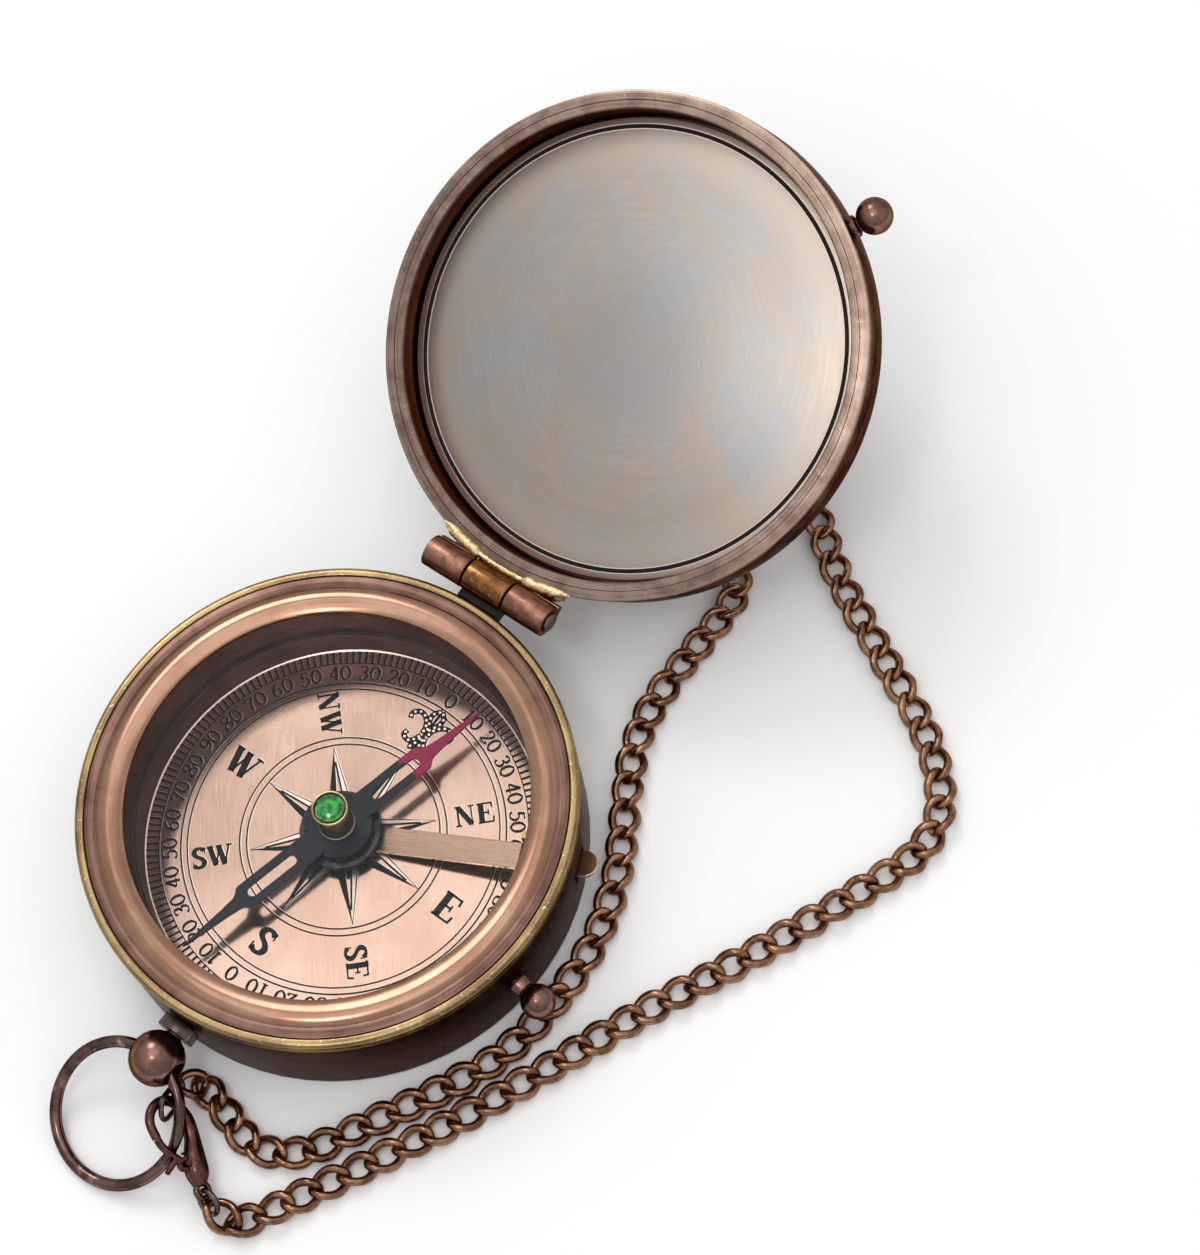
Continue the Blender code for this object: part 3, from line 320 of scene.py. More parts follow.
def eased(points, radius, steps=3):
    """A closed profile with its corners off the axis rounded."""
    made = []
    for k, corner in enumerate(points):
        here = Vector(corner)
        before, after = Vector(points[k - 1]), Vector(points[(k + 1) % len(points)])
        if here.x <= ON_AXIS:
            made.append(tuple(here))
            continue
        to_before, to_after = before - here, after - here
        cut = min(radius, 0.45 * to_before.length, 0.45 * to_after.length)
        a, b = here + to_before.normalized() * cut, here + to_after.normalized() * cut
        for n in range(steps + 1):
            t = n / steps
            made.append(tuple((1 - t) ** 2 * a + 2 * t * (1 - t) * here + t * t * b))
    return made


def arc(centre, radius, start, end, steps):
    """Points on an arc in degrees, both ends included."""
    points = []
    for k in range(steps + 1):
        a = math.radians(start + (end - start) * k / steps)
        points.append((centre[0] + radius * math.cos(a), centre[1] + radius * math.sin(a)))
    return points


def smooth(points, samples=6):
    """A curve through the points."""
    points = [Vector(p) for p in points]
    ends = [2 * points[0] - points[1]] + points + [2 * points[-1] - points[-2]]
    path = []
    for a, b, c, d in zip(ends, ends[1:], ends[2:], ends[3:]):
        for k in range(samples):
            t = k / samples
            bend = (2 * a - 5 * b + 4 * c - d) * t**2 + (3 * b - a - 3 * c + d) * t**3
            path.append(b + 0.5 * ((c - a) * t + bend))
    path.append(points[-1])
    return path


def path_length(path):
    return sum((b - a).length for a, b in zip(path, path[1:]))


def along_path(path, distance):
    for start, end in zip(path, path[1:]):
        step = (end - start).length
        if distance <= step:
            return start.lerp(end, distance / step)
        distance -= step
    return path[-1]


def direction_at(points, k, closed):
    """The way a line of points runs at one of them."""
    ahead = points[(k + 1) % len(points)] if closed or k + 1 < len(points) else points[k]
    behind = points[k - 1] if closed or k > 0 else points[k]
    return (ahead - behind).normalized()


def skin(bm, rings, closed=False):
    """Joins rings of vertices; a tube that isn't closed gets a face at each end."""
    for ring, following in with_next(rings, closed):
        for n in range(len(ring)):
            o = (n + 1) % len(ring)
            bm.faces.new((ring[n], ring[o], following[o], following[n]))
    if not closed:
        bm.faces.new(rings[0])
        bm.faces.new(rings[-1])
    return bm


def tube(points, radii, sides, closed=False, reference=None, bm=None):
    """Sweeps a round section of varying radius along points."""
    bm = bm or bmesh.new()
    points = [Vector(p) for p in points]
    middle = sum(points, Vector()) / len(points)
    rings = []
    for k, (point, radius) in enumerate(zip(points, radii)):
        along = direction_at(points, k, closed)
        aside = square_to(Vector(reference) if reference else point - middle, along)
        across = along.cross(aside)
        rings.append([
            bm.verts.new(point + radius * (math.cos(a) * aside + math.sin(a) * across))
            for a in angles(sides)
        ])
    return skin(bm, rings, closed)


def slab(outline, low, high, bevel=0.0, holes=()):
    """Raises an outline of (x, y) points, with bevelled top and bottom edges."""
    bm = bmesh.new()
    edges = []
    for loop in (outline, *holes):
        verts = [bm.verts.new((x, y, low)) for x, y in loop]
        edges += [bm.edges.new(pair) for pair in with_next(verts, True)]
    bmesh.ops.triangle_fill(bm, edges=edges, use_beauty=True)
    if not holes:
        bmesh.ops.dissolve_limit(bm, angle_limit=0.01, verts=bm.verts[:], edges=bm.edges[:])
    raised = bmesh.ops.extrude_face_region(bm, geom=bm.faces[:])["geom"]
    top = [v for v in raised if isinstance(v, bmesh.types.BMVert)]
    bmesh.ops.translate(bm, verts=top, vec=(0, 0, high - low))
    bmesh.ops.recalc_face_normals(bm, faces=bm.faces)
    if bevel:
        corners = [e for e in bm.edges if e.calc_face_angle(0) > math.radians(CORNER)]
        rims = [e for e in corners if abs(e.verts[0].co.z - e.verts[1].co.z) < SAME]
        bmesh.ops.bevel(bm, geom=rims, offset=bevel, segments=2, affect="EDGES", profile=0.5)
    return bm


def merge(bm, other):
    """Adds another mesh to a mesh and frees it."""
    mesh = bpy.data.meshes.new("part")
    other.to_mesh(mesh)
    other.free()
    bm.from_mesh(mesh)
    bpy.data.meshes.remove(mesh)


def add_block(bm, low, high, bevel=0.08):
    (x0, y0, z0), (x1, y1, z1) = low, high
    merge(bm, slab(rectangle(x0, y0, x1, y1), z0, z1, bevel))


def add_object(name, data):
    obj = bpy.data.objects.new(name, data)
    bpy.context.scene.collection.objects.link(obj)
    return obj


def set_down(name, bm, mat):
    """Turns a mesh made in millimetres into an object of the scene."""
    mesh = bpy.data.meshes.new(name)
    bm.to_mesh(mesh)
    bm.free()
    mesh.transform(Matrix.Scale(MM, 4))
    mesh.materials.append(mat)
    return add_object(name, mesh)


def piece(name, bm, mat, body, replaces=(), frame_mm=None, sharp=CORNER):
    """Sets a mesh down in its frame and lets it ride on a body."""
    bmesh.ops.recalc_face_normals(bm, faces=bm.faces)
    obj = set_down(name, bm, mat)
    obj.data.shade_smooth()
    obj.data.set_sharp_from_angle(angle=math.radians(sharp))
    if frame_mm is not None:
        place = frame_mm.copy()
        place.translation = frame_mm.translation * MM
        obj.matrix_world = place
    if body:
        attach(obj, body)
    if replaces:
        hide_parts(*replaces)
    return obj


def dress(node, mat):
    """Gives a CAD node its finish and shades it smooth up to its corners."""
    obj = nodes[node]
    obj.data.materials.clear()
    obj.data.materials.append(mat)
    obj.data.shade_smooth()
    weld = obj.modifiers.new("weld", "WELD")
    weld.merge_threshold = SAME
    corners = obj.modifiers.new("corners", "EDGE_SPLIT")
    corners.split_angle = math.radians(30)


# Camera and stage
PHOTO_HEIGHT = 1255
FOCAL_PIXELS = 2991.8
SENSOR = 36.0
LIGHTS_AIM = Vector((0.01, -0.005, 0.01))  # in metres
FLOOR_HALF = 6000


def make_camera():
    """The photograph's camera, solved from the rim, the dial rings, the lid and the hinge."""
    camera = bpy.data.cameras.new("camera")
    camera.sensor_width = SENSOR
    camera.lens = FOCAL_PIXELS / PHOTO_HEIGHT * SENSOR
    camera.clip_start = 0.01
    camera.clip_end = 10
    obj = add_object("camera", camera)
    right = Vector((0.5745, -0.8138, -0.0881)).normalized()
    back = square_to(Vector((-0.2779, -0.2952, 0.9142)), right)
    obj.matrix_world = frame_of(right, back.cross(right), back, Vector((-52.91, -99.79, 284.76)) * MM)
    bpy.context.scene.camera = obj


def soft_light(name, direction, distance, size, watts):
    light = bpy.data.lights.new(name, "AREA")
    light.shape = "DISK"
    light.size = size
    light.energy = watts
    obj = add_object(name, light)
    towards = Vector(direction).normalized()
    obj.location = LIGHTS_AIM + towards * distance
    obj.rotation_euler = towards.to_track_quat("Z", "Y").to_euler()


def make_stage():
    """A studio that pales towards the top, three soft lights and a pale floor."""
    world = bpy.data.worlds.new("studio")
    bpy.context.scene.world = world
    world.use_nodes = True
    tree = world.node_tree
    coords = tree.nodes.new("ShaderNodeTexCoord")
    split = tree.nodes.new("ShaderNodeSeparateXYZ")
    tree.links.new(coords.outputs["Generated"], split.inputs[0])
    ramp = tree.nodes.new("ShaderNodeValToRGB")
    tree.links.new(split.outputs[2], ramp.inputs[0])
    stops = ((0.0, (0.37, 0.365, 0.365, 1)), (0.85, (0.90, 0.90, 0.90, 1)))
    for element, (position, colour) in zip(ramp.color_ramp.elements, stops):
        element.position = position
        element.color = colour
    tree.links.new(ramp.outputs[0], tree.nodes["Background"].inputs["Color"])

    soft_light("overhead", (-0.02, 0.05, 0.99), 0.69, 0.50, 0.60)
    soft_light("key", (0.30, 0.55, 0.80), 0.60, 0.22, 0.60)
    soft_light("spark", (-0.32, -0.02, 0.95), 0.50, 0.08, 0.16)

    m = Nodes("pale_floor")
    fill(m.shader, {"Specular IOR Level": 0.0})
    bm = bmesh.new()
    bmesh.ops.create_grid(bm, x_segments=2, y_segments=2, size=FLOOR_HALF)
    set_down("floor", bm, m.finish((0.97, 0.97, 0.97), 0.9, None, 0.0))
    bpy.context.scene.view_settings.view_transform = "Standard"


make_camera()
make_stage()


# Materials: name, base, dark and bright colour, roughness
GOLD = lathe_metal(
    "worn_gold_rim", (0.37, 0.265, 0.125), (0.21, 0.13, 0.068), (1.0, 0.92, 0.66), 0.24,
    rings=3.0, specks=0.85)
MAUVE = lathe_metal(
    "mauve_ring", (0.185, 0.105, 0.08), (0.10, 0.05, 0.04), (0.32, 0.23, 0.17), 0.28,
    rings=5.0, specks=0.2)
BEZEL = lathe_metal(
    "copper_bezel", (0.37, 0.22, 0.15), (0.29, 0.155, 0.10), (0.54, 0.38, 0.28), 0.18,
    rings=2.5, ring_depth=0.0004, specks=0.1)
SIDE = lathe_metal(
    "dark_case_side", (0.085, 0.060, 0.056), (0.042, 0.029, 0.028), (0.18, 0.12, 0.10), 0.28,
    rings=2.0, specks=0.3, edge=0.45)
WALL = lathe_metal(
    "inner_wall", (0.19, 0.145, 0.137), (0.115, 0.083, 0.078), (0.24, 0.18, 0.16), 0.42,
    rings=1.2, ring_depth=0.0003, specks=0.0, edge=0.5)
BALL_COPPER = aged_metal(
    "aged_copper", (0.245, 0.137, 0.106), (0.175, 0.092, 0.072), (0.42, 0.27, 0.21), 0.22,
    blotch=0.5, dents=0.001, edge=0.4)
KNUCKLE_COPPER = aged_metal(
    "mottled_copper", (0.33, 0.17, 0.12), (0.20, 0.088, 0.066), (0.48, 0.28, 0.15), 0.30,
    blotch=0.6, speck=3.0, edge=0.4)
AMBER = aged_metal(
    "amber_brass", (0.30, 0.135, 0.048), (0.17, 0.07, 0.028), (0.66, 0.46, 0.24), 0.22,
    blotch=0.6, speck=1.6, dents=0.003, edge=0.4)
BRASS = aged_metal("old_brass", (0.58, 0.42, 0.20), (0.34, 0.22, 0.10), (0.86, 0.68, 0.38), 0.28)
CAP_BRASS = aged_metal(
    "dark_cap_brass", (0.36, 0.30, 0.25), (0.22, 0.18, 0.15), (0.46, 0.40, 0.34), 0.34,
    edge=0.8)
STEEL = aged_metal("grey_steel", (0.18, 0.145, 0.13), (0.09, 0.068, 0.06), (0.36, 0.31, 0.28), 0.26)
WIRE = aged_metal(
    "ring_wire", (0.18, 0.112, 0.09), (0.08, 0.048, 0.04), (0.58, 0.48, 0.43), 0.14,
    blotch=0.3, speck=0.7, dents=0.001, edge=0.3)
CLASP_COPPER = aged_metal(
    "clasp_copper", (0.15, 0.07, 0.055), (0.07, 0.032, 0.028), (0.40, 0.23, 0.17), 0.22,
    dents=0.003, edge=0.3)
CHAIN = aged_metal(
    "chain_copper", (0.37, 0.20, 0.115), (0.17, 0.082, 0.048), (0.62, 0.42, 0.28), 0.22,
    blotch=0.5, dents=0.002, edge=0.4)
DARK_STEEL = aged_metal("dark_steel", (0.05, 0.05, 0.055), (0.02, 0.02, 0.022), (0.22, 0.21, 0.21), 0.26)
# black: the engraving's fill, and painted shade in the lid's groove and under the hinge barrel
BLACK = plain_paint("black_fill_and_painted_shade", (0.010, 0.010, 0.012), 0.55, specular=0.15)
# pale metal: painted highlights by the engraving, on the rose, round the lid's groove and at the wall's
# foot; also the lily's bright dots
PALE_METAL_AND_PAINTED_HIGHLIGHT = plain_paint("pale_metal_and_painted_highlight", (0.80, 0.64, 0.54), 0.3, metallic=1.0)
HAIRLINE = plain_paint("hairline", (0.05, 0.03, 0.026), 0.5, metallic=1.0)


def dial_metal():
    """Pale copper brushed one way."""
    m = Nodes("brushed_dial")
    x, y, _ = m.split(m.coords(turn(38, "Z")))
    strokes = m.noise(m.join(m.times(x, 0.25), m.times(y, 14.0), 0.0), 1.0, 3.0, 0.65)
    cloud = m.noise(m.coords(), 0.14, 3.0, 0.5)
    tone = m.weigh(strokes, 0.5, cloud, 0.5)
    colour = m.mix(m.span(tone, 0.36, 0.64), (0.54, 0.345, 0.26), (0.66, 0.45, 0.36))
    return m.finish(colour, m.level(strokes, 0.10, 0.09), m.bump(strokes, 0.0005))


def lever_metal():
    """Tan strip brushed along its length, painted lighter towards its tab where the light falls, with a
    painted highlight along its edges.
    """
    m = Nodes("lever_brass")
    x, y, z = m.split(m.coords())
    strokes = m.noise(m.join(m.times(x, 0.12), m.times(y, 16.0), z), 1.0, 3.0, 0.6)
    colour = m.mix(m.span(strokes, 0.35, 0.65), (0.265, 0.17, 0.122), (0.315, 0.207, 0.15))
    # painted light: the strip gets lighter towards its tab, outside the case
    colour = m.mix(m.span(x, 3.5, 7.0), colour, (0.58, 0.40, 0.25))
    # a painted highlight along both edges of the strip
    colour = m.mix(m.span(m.math("ABSOLUTE", y), 1.26, 1.33), colour, (0.62, 0.48, 0.38))
    return m.finish(colour, m.level(strokes, 0.12, 0.20), m.bump(strokes, 0.0003))


def plate_metal():
    """Silvered plate: warm clouds, faint turning marks, a bluer centre and a browner margin."""
    m = Nodes("silvered_plate")
    p = m.coords()
    radius, angle, _ = m.polar(p)
    cloud = m.noise(p, 0.10, 4.0, 0.55, 0.5)
    fine = m.noise(p, 0.5, 4.0, 0.6)
    swirl = m.noise(m.around(m.times(radius, 2.4), angle, 4.0), 1.0, 4.0, 0.6, 0.6)
    tone = m.weigh(cloud, 0.75, fine, 0.25)
    colour = m.mix(m.span(tone, 0.38, 0.62), (0.40, 0.335, 0.28), (0.355, 0.35, 0.35))
    colour = m.mix(m.span(swirl, 0.45, 0.65, 0.0, 0.22), colour, (0.46, 0.43, 0.40))
    colour = m.mix(m.span(radius, 3.0, 12.0, 0.55, 0.0), colour, (0.285, 0.29, 0.305))
    colour = m.mix(m.span(radius, 17.0, 21.5, 0.0, 0.6), colour, (0.50, 0.42, 0.345))
    colour = m.mix(m.span(radius, 22.5, 22.6), colour, (0.56, 0.46, 0.38))
    return m.finish(colour, m.level(swirl, 0.12, 0.32), m.bump(swirl, 0.0006))


def lid_rim_metal():
    """Tan and mauve rim with short scratches across it, a brighter outer edge and a dark wall."""
    m = Nodes("lid_copper")
    p = m.coords()
    radius, angle, height = m.polar(p)
    cloud = m.noise(p, 0.3, 4.0, 0.6, 0.5)
    ring = m.noise(m.around(m.math("MULTIPLY_ADD", radius, 9.0, height), angle, 1.5), 1.0, 3.0, 0.6)
    nicks = m.noise(m.around(m.math("MULTIPLY_ADD", radius, 0.8, height), angle, 60.0), 1.0, 4.0, 0.7, 0.8)
    tone = m.weigh(cloud, 0.6, ring, 0.4)
    colour = m.mix(m.span(tone, 0.38, 0.62), (0.20, 0.13, 0.105), (0.37, 0.27, 0.22))
    colour = m.mix(m.span(nicks, 0.60, 0.74, 0.0, 0.6), colour, (0.66, 0.50, 0.40))
    outer = m.times(m.span(radius, 24.9, 25.3), m.span(height, 13.7, 13.35))
    colour = m.mix(m.times(outer, 0.25), colour, (0.60, 0.42, 0.32))
    side = m.span(height, 13.5, 14.2)
    inner = m.math("LESS_THAN", radius, 23.75)
    dark = m.mix(m.span(tone, 0.36, 0.64), (0.048, 0.032, 0.028), (0.13, 0.088, 0.074))
    colour = m.mix(m.times(side, 0.95), colour, dark)
    colour = m.mix(m.times(m.times(inner, side), 0.6), colour, (0.12, 0.06, 0.045))
    rough = m.level(ring, 0.2, 0.20)
    m.edge_tint((0.3, 0.21, 0.18), 0.38)
    return m.finish(colour, rough, m.bump(nicks, 0.004))


def needle_paint():
    """Black steel whose north head is painted red, with a ragged edge."""
    m = Nodes("needle_paint")
    p = m.coords()
    x = m.split(p)[0]
    ragged = m.math("ADD", x, m.times(m.math("SUBTRACT", m.noise(p, 1.6, 3.0), 0.5), 2.0))
    red = m.span(ragged, 8.8, 8.95)
    grain = m.noise(p, 3.0, 3.0)
    paint = m.mix(grain, (0.24, 0.008, 0.045), (0.36, 0.018, 0.085))
    colour = m.mix(red, m.mix(grain, (0.008, 0.010, 0.013), (0.022, 0.026, 0.032)), paint)
    fill(m.shader, {"Specular IOR Level": 0.13})
    return m.finish(colour, m.level(grain, 0.15, 0.22), m.bump(grain, 0.004), 0.0)


def glass():
    m = Nodes("flat_glass")
    fill(m.shader, {"Alpha": 0.03, "IOR": 1.5})
    return m.finish((0.30, 0.32, 0.32), 0.02, None, 0.0)


def gem():
    m = Nodes("green_stone")
    grain = m.noise(m.coords(), 1.6, 2.0)
    colour = m.mix(m.span(grain, 0.42, 0.58), (0.0, 0.11, 0.006), (0.005, 0.46, 0.03))
    fill(m.shader, {"Coat Weight": 0.2, "IOR": 1.6})
    return m.finish(colour, 0.04, None, 0.0)


def braze():
    m = Nodes("rough_braze")
    lumps = m.noise(m.coords(), 2.4, 5.0, 0.7)
    colour = m.mix(m.span(lumps, 0.42, 0.6), (0.56, 0.41, 0.20), (0.90, 0.74, 0.42))
    return m.finish(colour, m.level(lumps, 0.3, 0.25), m.bump(lumps, 0.025))


# Case, bezel and glass
GLASS_RADIUS = 22.4
DIAL_TOP = 2.5


def case_pieces():
    band = [(24.08, 11.5), (25.0, 11.5), (25.0, 12.72), (24.72, 13.0), (24.08, 13.0)]
    piece("rim_band_look", lathe(eased(band, 0.14), 240), GOLD, "case", ("rim_band",))
    flat = rectangle(22.96, 12.3, 24.0, 12.93)
    piece("mauve_ring", lathe(eased(flat, 0.05, 2), 240), MAUVE, "case", ())

    steps, width, rise, skew = 16, 2.62, 0.32, 0.85
    bezel = [(20.2, 12.55), (22.88, 12.55), (22.88, 12.86)]
    for k in range(1, steps):
        bezel.append((22.86 - width * k / steps, 12.88 + rise * math.sin(math.pi * (k / steps) ** skew)))
    bezel.append((20.2, 12.84))
    piece("bezel_look", lathe(bezel, 240), BEZEL, "case", ("bezel_ring",), sharp=50)
    pane = lathe(rectangle(0, 11.55, GLASS_RADIUS, 12.25), 96)
    piece("glass_look", pane, glass(), "case", ("crystal",))

    dress("case_body", SIDE)
    dress("case_liner", MAUVE)
    dress("spacer_ring", WALL)
    lip = lathe(eased(rectangle(20.3, 6.3, 20.52, 6.52), 0.06, 1))
    piece("spacer_lip", lip, MAUVE, "case", ())
    # a pale ring at the foot of the wall, painted as a highlight line
    foot = [(20.16, DIAL_TOP), (20.32, DIAL_TOP), (20.32, DIAL_TOP + 0.12), (20.16, DIAL_TOP + 0.06)]
    piece("spacer_foot", lathe(foot, 200), PALE_METAL_AND_PAINTED_HIGHLIGHT, "case", ())


# Dial: flat ribbons stand for its black-filled engraving and for the painted highlights beside it
INK = DIAL_TOP + 0.03
# the painted highlight lies under each line, moved away from the light onto the groove wall that faces it,
# and a little wider
EDGE = DIAL_TOP + 0.015
PAINTED_HIGHLIGHT_SHIFT = (0.065, -0.05)
PAINTED_HIGHLIGHT_SPREAD = 0.01
DIAL_TURN = -2.0


class Engraving:
    """Black-filled lines on the dial, each with a painted highlight on one side, where the groove's wall
    would catch the light.
    """

    def __init__(self):
        self.ink = bmesh.new()
        # the painted highlights beside the lines
        self.edge = bmesh.new()

    def layers(self):
        """(mesh, height, shift, extra half width) of the fill and of its painted highlight."""
        return ((self.ink, INK, (0, 0), 0), (self.edge, EDGE, PAINTED_HIGHLIGHT_SHIFT, PAINTED_HIGHLIGHT_SPREAD))

    def line(self, points, thick, thin, place, closed=False):
        """A pen stroke: upright parts are thick and level parts are thin."""
        points = [Vector((p[0], p[1])) for p in points]
        for bm, height, shift, spread in self.layers():
            sides = []
            for k, point in enumerate(points):
                along = direction_at(points, k, closed)
                width = (thin + (thick - thin) * abs(along.y) ** 1.5) / 2 + spread
                aside = Vector((-along.y, along.x)) * width
                pair = []
                for q in (point + aside, point - aside):
                    q = place @ Vector((q.x, q.y, 0))
                    pair.append(bm.verts.new((q.x + shift[0], q.y + shift[1], height)))
                sides.append(pair)
            for a, b in with_next(sides, closed):
                bm.faces.new((a[0], b[0], b[1], a[1]))

    def circle(self, radius, width):
        points = [spoke(radius, a) for a in angles(240)]
        self.line(points, width, width, Matrix(), True)

    def rule(self, start, end, width, place):
        self.line([start, end], width, width, place)

    def area(self, outline, place):
        for bm, height, shift, _ in self.layers():
            spots = [place @ Vector((x, y, 0)) for x, y in outline]
            bm.faces.new([bm.verts.new((q.x + shift[0], q.y + shift[1], height)) for q in spots])

    def bright_area(self, outline, above, place):
        """A bright patch that lies this far above the black."""
        spots = [place @ Vector((x, y, 0)) for x, y in outline]
        self.edge.faces.new([self.edge.verts.new((q.x, q.y, INK + above)) for q in spots])

    def bead(self, x, y, place, radius=0.14):
        """A bright dot inside a black stroke."""
        self.bright_area(arc((x, y), radius, 0, 315, 7), 0.01, place)


def stroke(thick, thin, *points, curved=False):
    return thick, thin, curved, points


# Glyphs one unit high, as lists of strokes
FINE = 0.085
serif = partial(stroke, FINE, FINE)
heavy = partial(stroke, 0.26, 0.26)
light = partial(stroke, 0.09, 0.09)
plain = partial(stroke, 0.2, 0.1)
bent = partial(plain, curved=True)
GLYPHS = {
    "0": [bent((0.3, 0), (0.06, 0.2), (0, 0.5), (0.06, 0.8), (0.3, 1), (0.54, 0.8), (0.6, 0.5), (0.54, 0.2),
               (0.3, 0))],
    "1": [plain((0.3, 0), (0.3, 1)), plain((0.3, 0.98), (0.1, 0.82)), plain((0.1, 0.02), (0.5, 0.02))],
    "2": [bent((0.06, 0.72), (0.12, 0.94), (0.32, 1), (0.52, 0.84), (0.48, 0.6), (0.24, 0.28), (0.02, 0.03)),
          plain((0.02, 0.04), (0.56, 0.04)), plain((0.54, 0.04), (0.58, 0.2))],
    "3": [bent((0.06, 0.82), (0.2, 0.98), (0.42, 0.96), (0.5, 0.76), (0.4, 0.58), (0.22, 0.53)),
          bent((0.22, 0.53), (0.46, 0.48), (0.56, 0.26), (0.42, 0.04), (0.18, 0), (0.02, 0.16))],
    "4": [plain((0.42, 0), (0.42, 1)), plain((0.42, 1), (0, 0.3)), plain((0, 0.28), (0.6, 0.28))],
    "5": [plain((0.12, 0.97), (0.52, 0.97)), plain((0.12, 0.98), (0.09, 0.54)),
          bent((0.09, 0.54), (0.3, 0.62), (0.52, 0.48), (0.54, 0.22), (0.36, 0.02), (0.14, 0), (0, 0.14))],
    "6": [bent((0.5, 0.97), (0.2, 0.82), (0.04, 0.5), (0.04, 0.2), (0.28, 0), (0.52, 0.14), (0.54, 0.4),
               (0.34, 0.56), (0.1, 0.44))],
    "7": [plain((0.04, 0.96), (0.58, 0.96)), plain((0.05, 0.96), (0.04, 0.78)),
          bent((0.57, 0.95), (0.36, 0.55), (0.22, 0))],
    "8": [bent((0.3, 0.52), (0.08, 0.7), (0.12, 0.92), (0.3, 1), (0.48, 0.92), (0.52, 0.7), (0.3, 0.52),
               (0.04, 0.32), (0.06, 0.08), (0.3, 0), (0.54, 0.08), (0.56, 0.32), (0.3, 0.52))],
    "9": [bent((0.1, 0.03), (0.4, 0.18), (0.56, 0.5), (0.56, 0.8), (0.32, 1), (0.08, 0.86), (0.06, 0.6),
               (0.26, 0.44), (0.5, 0.56))],
    "N": [stroke(0.1, FINE, (0.14, 0), (0.14, 1)), stroke(0.07, FINE, (0.78, 0), (0.78, 1)),
          heavy((0.17, 0.97), (0.75, 0.04)), serif((0, 0.03), (0.28, 0.03)), serif((0, 0.97), (0.22, 0.97)),
          serif((0.64, 0.97), (0.92, 0.97))],
    "E": [stroke(0.27, FINE, (0.2, 0), (0.2, 1)), serif((0.02, 0.03), (0.76, 0.03)),
          serif((0.02, 0.97), (0.72, 0.97)), serif((0.2, 0.51), (0.54, 0.51)),
          stroke(0.09, FINE, (0.74, 0), (0.78, 0.3)), stroke(0.09, FINE, (0.7, 1), (0.73, 0.74)),
          stroke(0.08, FINE, (0.54, 0.38), (0.54, 0.64))],
    "S": [stroke(0.26, 0.15, (0.58, 0.84), (0.42, 0.97), (0.2, 0.94), (0.1, 0.76), (0.2, 0.6), (0.44, 0.45),
                 (0.56, 0.26), (0.46, 0.07), (0.24, 0.03), (0.06, 0.16), curved=True),
          stroke(0.07, FINE, (0.6, 1), (0.62, 0.7)), stroke(0.07, FINE, (0.04, 0.32), (0.05, 0))],
    "W": [heavy((0.12, 0.98), (0.36, 0.02)), light((0.36, 0.02), (0.58, 0.9)),
          heavy((0.54, 0.98), (0.78, 0.02)), light((0.78, 0.02), (1.04, 0.98)),
          serif((-0.02, 0.97), (0.3, 0.97)), serif((0.42, 0.97), (0.7, 0.97)),
          serif((0.9, 0.97), (1.18, 0.97))],
}
LETTER_WIDTHS = {"N": 0.92, "E": 0.78, "S": 0.62, "W": 1.14}
DIGIT_WIDTH = 0.66
GLYPH_GAP = 0.12


def bearing(degrees):
    """The frame of a mark on the dial: X outwards, at this bearing from north, clockwise."""
    return turn(DIAL_TURN - degrees, "Z")


def write(cut, text, place, size):
    """Writes a word centred on the place, whose Y points to its top."""
    widths = [LETTER_WIDTHS.get(c, DIGIT_WIDTH) for c in text]
    x = -(sum(widths) + GLYPH_GAP * (len(text) - 1)) / 2
    for c, width in zip(text, widths):
        for thick, thin, curved, points in GLYPHS[c]:
            path = [((px + x) * size, (py - 0.5) * size) for px, py in points]
            path = smooth([(*q, 0) for q in path], 4) if curved else path
            cut.line(path, thick * size, thin * size, place)
        x += width + GLYPH_GAP


def dial_scale(cut):
    """Rings, a tick every two degrees, and numbers that count 0 to 90 and back."""
    tick_inner, tick_outer, number_radius = 18.86, 20.3, 17.76
    rings = ((9.86, 0.16), (10.58, 0.16), (15.95, 0.15), (16.62, 0.17))
    for radius, width in (*rings, (tick_inner, 0.12), (tick_outer, 0.14)):
        cut.circle(radius, width)
    for k in range(180):
        cut.rule((tick_inner, 0), (tick_outer, 0), 0.26, bearing(2 * k))
    for step in range(36):
        number = 10 * min(step % 18, 18 - step % 18)
        place = bearing(10 * step) @ at(number_radius, 0, 0) @ turn(-90, "Z")
        write(cut, str(number), place, 1.5)


def dial_letters(cut):
    """Single letters stand upright; pairs read outwards in the east and inwards in the west."""
    upright = turn(DIAL_TURN - 90, "Z")
    radius, size = 13.35, 2.8
    for text, degrees in (("E", 89), ("S", 178), ("W", 270)):
        spot = bearing(degrees) @ Vector((radius, 0, 0))
        write(cut, text, at(spot.x, spot.y, 0) @ upright, size)
    radius, size = 13.45, 2.15
    for text, degrees in (("NE", 45), ("SE", 135), ("SW", 225), ("NW", 315)):
        place = bearing(degrees) @ at(radius, 0, 0) @ turn(0 if degrees < 180 else 180, "Z")
        write(cut, text, place, size)


def dial_rose(cut):
    """Eight slender points, each half black and half pale; which half is which follows the light, so the
    pale half is a painted highlight and the black half is black fill that also stands for painted shade.
    """
    root, half = 3.1, 1.22
    for k in range(8):
        place = bearing(45 * k)
        tip = 9.72 if k % 2 == 0 else 9.5
        away = place.to_3x3() @ Vector((0, 1, 0))
        # the side of the black half is picked by the direction of the light: painted shade on one half,
        # painted highlight on the other
        side = 1 if away.x * 0.8 - away.y * 0.5 < 0 else -1
        dark = [(tip, 0), (root, side * half), (root, side * half * 0.2), (tip - 1.6, side * 0.03)]
        cut.area(dark, place)
        cut.rule((tip - 1.5, -side * 0.03), (root, -side * half * 0.42), 0.2, place)
        cut.rule((tip, 0), (root, -side * half), 0.13, place)
        bright = [(tip, 0), (root, -side * half * 0.55), (root, -side * half * 0.92)]
        cut.bright_area(bright, 0.005, place)


